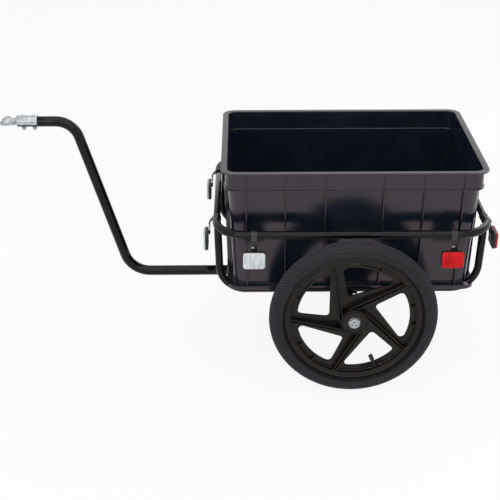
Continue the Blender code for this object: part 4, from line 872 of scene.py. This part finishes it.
def build_wheels():
    """Both wheels with their valves, and the nut, washer and dark bearing ring of each."""
    rim = build_rim()
    tyre = build_tyre()
    valve = build_valve()
    for side, word in ((-1, "left"), (1, "right")):
        turn = Matrix.Rotation(0.0 if side < 0 else pi, 4, "Z")
        place = Matrix.Translation((0, side * WHEEL_Y, AXLE_HEIGHT)) @ turn
        body = word + "_wheel"
        for shape, name, slot, nodes in ((rim, "_wheel_moulding", "rim_plastic", [word + "_rim"]),
                                         (tyre, "_tyre_casing", "tyre_rubber", [word + "_tyre"]),
                                         (valve, "_valve", "tube_rubber", [])):
            piece = bmesh.new()
            pour(piece, shape, place)
            add_piece(word + name, piece, slot, body, nodes)
        start = HUB_HALF_WIDTH - CLEAR
        nut = hex_nut(NUT_ACROSS_FLATS, start + WASHER_TOP, start + NUT_TOP, NUT_CHAMFER)
        for number in range(NUT_PITS):
            angle = pi / 2 + 2 * pi * number / NUT_PITS
            pit = turned([(0, start + 0.0024), (0.0018, start + 0.0024), (0.0025, start + 0.0032),
                          (0.0025, start + 0.0080), (0, start + 0.0080)], 20)
            pit.transform(Matrix.Translation((PIT_REACH * cos(angle), 0, PIT_REACH * sin(angle))))
            nut = combine(nut, ("DIFFERENCE", pit))
        washer = turned([(0, start), (0.0122, start), (0.0127, start + 0.0004), (0.0127, start + 0.0009),
                         (0.0123, start + WASHER_TOP), (0, start + WASHER_TOP)], 48)
        pour(nut, washer)
        washer.free()
        # A dark plastic ring in front of the outer bearing, which keeps the bearing's face dark
        dark_bearing_ring = turned([(0.0132, start - 0.0002), (0.0174, start - 0.0002), (0.0174, start + 0.0001),
                       (0.0170, start + 0.0003), (0.0134, start + 0.0003), (0.0132, start + 0.0001)], 48,
                      closed=True)
        outward = place @ Matrix.Rotation(pi, 4, "Z")
        dark_bearing_ring.transform(outward)
        add_piece(word + "_dark_bearing_ring", dark_bearing_ring, "trim_plastic", body)
        nut.transform(outward)
        add_piece(word + "_hub_nut", nut, "zinc", "frame", [word + "_axle_nut"])


def build_axle():
    """The cross axle with a shoulder at each inner bearing."""
    half = [(0.0080, 0.1863), (0.0102, 0.1867), (0.0102, 0.2472), (0.0098, 0.2476), (0.0080, 0.2476),
            (0.0080, 0.3040)]
    profile = [(0, -0.3040)] + [(radius, -y) for radius, y in reversed(half)] + half + [(0, 0.3040)]
    bm = turned(profile, TUBE_SIDES)
    bm.transform(Matrix.Translation((0, 0, AXLE_HEIGHT)))
    add_piece("axle_bar", bm, "zinc", "frame", ["cross_axle"])


# Coupling

def pressing_loop(x, half_width, outer, inner, centre_z):
    """Section of the coupling pressing at one X: flange, arch and flange, then back underneath."""
    arch = [pi * i / ARCH_STEPS for i in range(1, ARCH_STEPS)]
    points = []
    for radius, flange_z, order in ((outer, FLANGE_TOP, 1), (inner, FLANGE_TOP - PRESSING, -1)):
        spread = radius if radius else half_width * 2 / 3
        row = [(half_width, flange_z), (spread, flange_z)]
        for angle in arch:
            row.append((spread * cos(angle), centre_z + radius * sin(angle) if radius else flange_z))
        row += [(-spread, flange_z), (-half_width, flange_z)]
        points += [(x, y, z) for y, z in row[::order]]
    return points


def coupling_rows():
    """Sections of the pressing from the tip over the cup and the neck to the end of the saddle."""
    rows = [(-0.8335, 0.0080, 0, 0, FLANGE_TOP), (-0.8322, 0.0108, 0, 0, FLANGE_TOP),
            (CUP_X - CUP_RADIUS - 0.0015, 0.0130, 0, 0, FLANGE_TOP)]
    neck_shift = sqrt(CUP_RADIUS ** 2 - NECK_RADIUS ** 2)
    widths = ((-0.0150, 0.0145), (-0.0125, 0.0170), (-0.0085, 0.0185), (-0.0040, 0.0193), (0.0, 0.0195),
              (0.0040, 0.0192), (0.0075, 0.0183), (0.0120, 0.0165))
    stops = [-0.0148, -0.0143, -0.0135, -0.0122, -0.0105, -0.0085, -0.006, -0.003,
             0, 0.003, 0.006, 0.0085, 0.0102]
    for shift in [stop for stop in stops if stop < neck_shift]:
        for (low, low_width), (high, high_width) in zip(widths, widths[1:]):
            if low <= shift <= high:
                width = low_width + (high_width - low_width) * (shift - low) / (high - low)
        inner = sqrt(max((CUP_RADIUS - PRESSING) ** 2 - shift ** 2, 0))
        rows.append((CUP_X + shift, width, sqrt(CUP_RADIUS ** 2 - shift ** 2), inner, FLANGE_TOP))
    neck_end = JAW_PIVOT_X + 0.003
    for x, width in ((CUP_X + neck_shift, 0.0165), (CUP_X + neck_shift + 0.001, 0.0163), (neck_end, 0.0155)):
        rows.append((x, width, NECK_RADIUS, NECK_RADIUS - PRESSING, FLANGE_TOP))
    for ahead, width, narrower, lower in ((0.0032, 0.0158, CLEAR, CLEAR * 2),
                                          (0.0012, 0.0161, CLEAR / 2, CLEAR), (0.0, 0.0163, 0.0, 0.0)):
        radius = SADDLE_RADIUS - narrower
        rows.append((SADDLE_XS[0] - ahead, width, radius, radius - PRESSING, DRAWBAR_HIGH - lower))
    rows.append((SADDLE_XS[1], 0.0163, SADDLE_RADIUS, SADDLE_RADIUS - PRESSING, DRAWBAR_HIGH))
    return rows


def build_coupling():
    """The ball coupling's pressing with its bolts and nuts, and the plug in the drawbar's end."""
    bm = bmesh.new()
    add_loops(bm, [pressing_loop(*row) for row in coupling_rows()])
    tidy(bm)
    soften(bm, 0.0004, limit=50)
    add_piece("coupling_pressing", bm, "zinc", "frame", ["ball_coupling"], smooth=30)
    crown = DRAWBAR_HIGH + SADDLE_RADIUS
    for x, word in zip(COUPLING_BOLT_XS, ("front", "rear")):
        upright = (Matrix.Translation((x, 0, 0)) @ Matrix.Rotation(pi / 2, 4, "X")
                   @ Matrix.Rotation(pi, 4, "X"))
        head = [(0, crown + 0.0023), (0.0018, crown + 0.0022), (0.0036, crown + 0.0017),
                (0.0050, crown + 0.0009), (0.0056, crown - 0.0001), (0.0056, crown - 0.0008),
                (0.0030, crown - 0.0008), (0.0030, THREAD_TOP + 0.0010)]
        thread = []
        level = BOLT_FOOT + THREAD_PITCH / 2
        while level < THREAD_TOP:
            thread = [(0.0030, level + 0.0002), (0.0026, level)] + thread
            level += THREAD_PITCH
        bm = turned([(radius, -z) for radius, z in head + thread + [(0, BOLT_FOOT)]], 28)
        bm.transform(upright)
        add_piece(word + "_saddle_bolt", bm, "zinc", "frame", [word + "_coupling_bolt"], smooth=30)
        nut = hex_nut(0.010, -0.5670, -0.5622, 0.0007)
        nut.transform(upright)
        add_piece(word + "_saddle_nut", nut, "zinc", "frame", [word + "_coupling_nut"], smooth=25)
    face = DRAWBAR_CORNERS[-1][0] - CLEAR
    plug = turned([(0, 0.0020 - face), (0.0113, 0.0020 - face), (0.0122, 0.0012 - face), (0.0122, -face),
                   (0.0100, -face), (0.0100, -face - 0.0075), (0, -face - 0.0075)], TUBE_SIDES)
    plug.transform(Matrix.Translation((0, 0, DRAWBAR_HIGH)) @ Matrix.Rotation(pi / 2, 4, "Z"))
    add_piece("drawbar_plug", plug, "trim_plastic", "frame", ["drawbar_end_plug"])


# Reflectors

def reflector_clip(tube_radius):
    """Strap, tab and screw of one reflector, with the tube along X at the origin."""
    inner = tube_radius + CLEAR
    outer = inner + CLIP_THICKNESS
    half = CLIP_WIDTH / 2
    ring = turned([(inner, -half), (outer - 0.0003, -half), (outer, -half + 0.0003), (outer, half - 0.0003),
                   (outer - 0.0003, half), (inner, half)], TUBE_SIDES, closed=True)
    ring.transform(Matrix.Rotation(-pi / 2, 4, "Z"))
    shoulder = -(outer / cos(pi / 12)) - 0.0004
    front = shoulder - TAB_LEAN
    back = front + 0.0018
    tab = bmesh.new()
    outline = [(-inner - 0.0006, 0.0015), (shoulder, 0.0015), (shoulder - 0.0004, 0.0005), (front, -0.0070),
               (front, TAB_FOOT), (back, TAB_FOOT), (back, -0.0078), (-inner - 0.0006, -0.0015)]
    extrude_outline(tab, [(-half + CLEAR, y, z) for y, z in outline], (2 * (half - CLEAR), 0, 0))
    tidy(tab)
    soften(tab, 0.0004, limit=50)
    bm = combine(ring, ("UNION", tab))
    screw = turned([(0, front - 0.0020), (0.0020, front - 0.0020), (0.0032, front - 0.0013),
                    (0.0034, front - 0.0004), (0.0034, front), (0, front)], 24)
    screw.transform(Matrix.Translation((0, 0, CLIP_SCREW_Z)))
    for size in ((0.0034, 0.0016, 0.0007), (0.0007, 0.0016, 0.0034)):
        cut = bmesh.new()
        add_block(cut, (0, front - 0.0020, CLIP_SCREW_Z), size)
        screw = combine(screw, ("DIFFERENCE", cut))
    return bm, screw, front


def reflector_housing(front_of_tab, shift):
    """Black back shell with its boss, and the place of the lens that caps it."""
    back = front_of_tab - CLEAR - 0.0025
    front = back - REFLECTOR_DEPTH
    half_across, half_up = (size / 2 for size in REFLECTOR_SIZE)
    bm = bmesh.new()
    outline = [(x + shift, z - REFLECTOR_DROP)
               for x, z in rounded_rectangle(half_across, half_up, REFLECTOR_CORNER, 6)]
    add_plate(bm, outline, front + LENS_DEPTH, back)
    tidy(bm)
    soften(bm, 0.0018, limit=60, segments=4,
           chosen=lambda edge: all(vert.co.y > back - 0.0001 for vert in edge.verts))
    boss = turned([(0, back - 0.002), (0.0050, back - 0.002), (0.0050, back + 0.0022),
                   (0.0047, back + 0.0025), (0, back + 0.0025)], 28)
    boss.transform(Matrix.Translation((0, 0, BOSS_Z)))
    return combine(bm, ("UNION", boss)), front


def reflector_lens(front, shift):
    """Lens plate with a bevelled edge and upright ribs over its face."""
    half_across, half_up = (size / 2 - LENS_BORDER for size in REFLECTOR_SIZE)
    face = front - 0.0010
    bm = bmesh.new()
    outline = [(x + shift, z - REFLECTOR_DROP)
               for x, z in rounded_rectangle(half_across, half_up, REFLECTOR_CORNER - LENS_BORDER, 6)]
    add_plate(bm, outline, face, front + LENS_DEPTH - CLEAR)
    tidy(bm)
    soften(bm, 0.0012, limit=60, segments=3,
           chosen=lambda edge: all(vert.co.y < face + 0.0001 for vert in edge.verts))
    grooves = bmesh.new()
    for i in range(LENS_GROOVES):
        x = shift + (i - (LENS_GROOVES - 1) / 2) * GROOVE_PITCH
        add_block(grooves, (x, face, -REFLECTOR_DROP - 0.0030), (0.0010, 0.0007, 2 * half_up - 0.0100),
                  Matrix.Rotation(pi / 4, 4, "Z"))
    return combine(bm, ("DIFFERENCE", grooves))


def build_reflectors():
    """Two white reflectors ahead, two red behind, and one of each on both sides."""
    places = []
    for side, word in ((-1, "left"), (1, "right")):
        turn = 0.0 if side < 0 else pi
        rail_y = side * RING_HALF_WIDTH
        bar_y = side * END_REFLECTOR_Y
        places += [
            (word + "_side_front_reflector", (SIDE_REFLECTOR_XS[0], rail_y), turn, RAIL_RADIUS,
             0.0, "clear_lens"),
            (word + "_side_rear_reflector", (SIDE_REFLECTOR_XS[1], rail_y), turn, RAIL_RADIUS,
             side * SIDE_RED_SHIFT, "red_lens"),
            (word + "_front_reflector", (FRONT_BAR_X, bar_y), -pi / 2, BAR_RADIUS,
             -side * END_REFLECTOR_SHIFT, "clear_lens"),
            (word + "_rear_reflector", (REAR_BAR_X, bar_y), pi / 2, BAR_RADIUS,
             side * END_REFLECTOR_SHIFT, "red_lens"),
        ]
    for node, (x, y), turn, tube_radius, shift, glass in places:
        clip, screw, tab_front = reflector_clip(tube_radius)
        housing, front = reflector_housing(tab_front, shift)
        lens = reflector_lens(front, shift)
        nut = bmesh.new()
        add_block(nut, (-0.0034, tab_front - 0.0008, CLIP_NUT_Z), (0.0072, 0.0016, 0.0040))
        soften(nut, 0.0005, segments=3)
        place = Matrix.Translation((x, y, RING_HEIGHT)) @ Matrix.Rotation(turn, 4, "Z")
        for bm, name, slot, nodes in ((clip, "_strap", "trim_plastic", [node + "_clip"]),
                                      (screw, "_screw", "dark_steel", []),
                                      (nut, "_nut", "zinc", []),
                                      (housing, "_shell", "trim_plastic", [node + "_housing"]),
                                      (lens, "_glass", glass, [node + "_lens"])):
            bm.transform(place)
            add_piece(node + name, bm, slot, "frame", nodes, smooth=30)


# Brackets and jaw

def build_brackets():
    """The stirrups, the drawbar hangers and the jaw, as the CAD has them but with rounded edges."""
    for node, slot, body, width in (("left_axle_stirrup", "black_paint", "frame", 0.0005),
                                    ("right_axle_stirrup", "black_paint", "frame", 0.0005),
                                    ("front_drawbar_hanger", "black_paint", "frame", 0.0008),
                                    ("rear_drawbar_hanger", "black_paint", "frame", 0.0008),
                                    ("coupling_jaw", "dark_steel", "jaw", 0.0003)):
        bm = bmesh.new()
        bm.from_mesh(frame["nodes"][node].data)
        bmesh.ops.transform(bm, verts=bm.verts, matrix=Matrix.Translation((-AXLE_X, 0, 0)))
        tidy(bm)
        bmesh.ops.dissolve_limit(bm, angle_limit=radians(1), verts=bm.verts, edges=bm.edges)
        soften(bm, width, limit=50)
        add_piece(node + "_rounded", bm, slot, body, [node], smooth=30)


# Nodes that stay as the CAD has them

def dress_kept_nodes():
    """Give each CAD node that still shows its finish."""
    slots = {"inner_tube": "tube_rubber", "bearing": "bearing_steel", "spacer": "bearing_steel"}
    for name, item in frame["nodes"].items():
        if item.hide_render:
            continue
        slot = next(slot for word, slot in slots.items() if word in name)
        item.data.materials.clear()
        item.data.materials.append(FINISHES[slot])


# Studio

def build_studio():
    """Pale floor, soft lamps, a white surround and the camera at the photograph's place."""
    scene = bpy.context.scene
    scene.view_settings.view_transform = "Standard"
    world = bpy.data.worlds.new("studio")
    scene.world = world
    world.use_nodes = True
    tree = world.node_tree
    tree.nodes.clear()
    seen = white_rays(tree)
    fill_light = add_node(tree, "ShaderNodeBackground", None,
                          {"Color": srgb("ffffff"), "Strength": FILL_STRENGTH})
    white = add_node(tree, "ShaderNodeBackground", None, {"Color": srgb("ffffff"), "Strength": 1.0})
    mix = add_node(tree, "ShaderNodeMixShader", None,
                   {0: seen, 1: fill_light.outputs[0], 2: white.outputs[0]})
    add_node(tree, "ShaderNodeOutputWorld", None, {"Surface": mix.outputs[0]})

    mesh = bpy.data.meshes.new("floor")
    bm = bmesh.new()
    bmesh.ops.create_grid(bm, x_segments=1, y_segments=1, size=FLOOR_SIZE)
    bm.to_mesh(mesh)
    bm.free()
    floor = bpy.data.objects.new("floor", mesh)
    scene.collection.objects.link(floor)
    paper = bpy.data.materials.new("white paper")
    paper.use_nodes = True
    tree = paper.node_tree
    tree.nodes.clear()
    seen = white_rays(tree)
    share = add_node(tree, "ShaderNodeMath", {"operation": "MULTIPLY"}, {0: seen, 1: FLOOR_GLOW}).outputs[0]
    matt = add_node(tree, "ShaderNodeBsdfDiffuse", None, {"Color": srgb("f4f4f4")})
    glow = add_node(tree, "ShaderNodeEmission", None, {"Color": srgb("ffffff"), "Strength": 1.0})
    mix = add_node(tree, "ShaderNodeMixShader", None, {0: share, 1: matt.outputs[0], 2: glow.outputs[0]})
    add_node(tree, "ShaderNodeOutputMaterial", None, {"Surface": mix.outputs[0]})
    mesh.materials.append(paper)

    for name, place, size, power in LAMPS:
        lamp = bpy.data.lights.new(name, "AREA")
        lamp.shape = "RECTANGLE"
        lamp.size, lamp.size_y = size
        lamp.energy = power
        holder = bpy.data.objects.new(name, lamp)
        holder.location = place
        aim = Vector(LAMP_TARGET) - Vector(place)
        holder.rotation_euler = aim.to_track_quat("-Z", "Y").to_euler()
        scene.collection.objects.link(holder)

    level = cos(CAMERA_ELEVATION)
    forward = Vector((sin(CAMERA_AZIMUTH) * level, cos(CAMERA_AZIMUTH) * level, -sin(CAMERA_ELEVATION)))
    right = Vector((cos(CAMERA_AZIMUTH), -sin(CAMERA_AZIMUTH), 0))
    up = right.cross(forward)
    rolled_right = right * cos(CAMERA_ROLL) + up * sin(CAMERA_ROLL)
    rolled_up = up * cos(CAMERA_ROLL) - right * sin(CAMERA_ROLL)
    camera = bpy.data.cameras.new("camera")
    camera.sensor_width = 36
    camera.lens = CAMERA_LENS
    holder = bpy.data.objects.new("camera", camera)
    turn = Matrix((rolled_right, rolled_up, -forward)).transposed().to_4x4()
    holder.matrix_world = Matrix.Translation(CAMERA_PLACE) @ turn
    scene.collection.objects.link(holder)
    scene.camera = holder


def white_rays(tree):
    """1 for the camera's own rays and those seen in gloss or through glass."""
    path = add_node(tree, "ShaderNodeLightPath")
    seen = path.outputs["Is Camera Ray"]
    for name in ("Is Glossy Ray", "Is Transmission Ray"):
        both = {0: seen, 1: path.outputs[name]}
        seen = add_node(tree, "ShaderNodeMath", {"operation": "MAXIMUM"}, both).outputs[0]
    return seen


FINISHES = make_finishes()
build_studio()
build_tub()
build_frame_tubes()
build_wheels()
build_axle()
build_coupling()
build_reflectors()
build_brackets()
dress_kept_nodes()
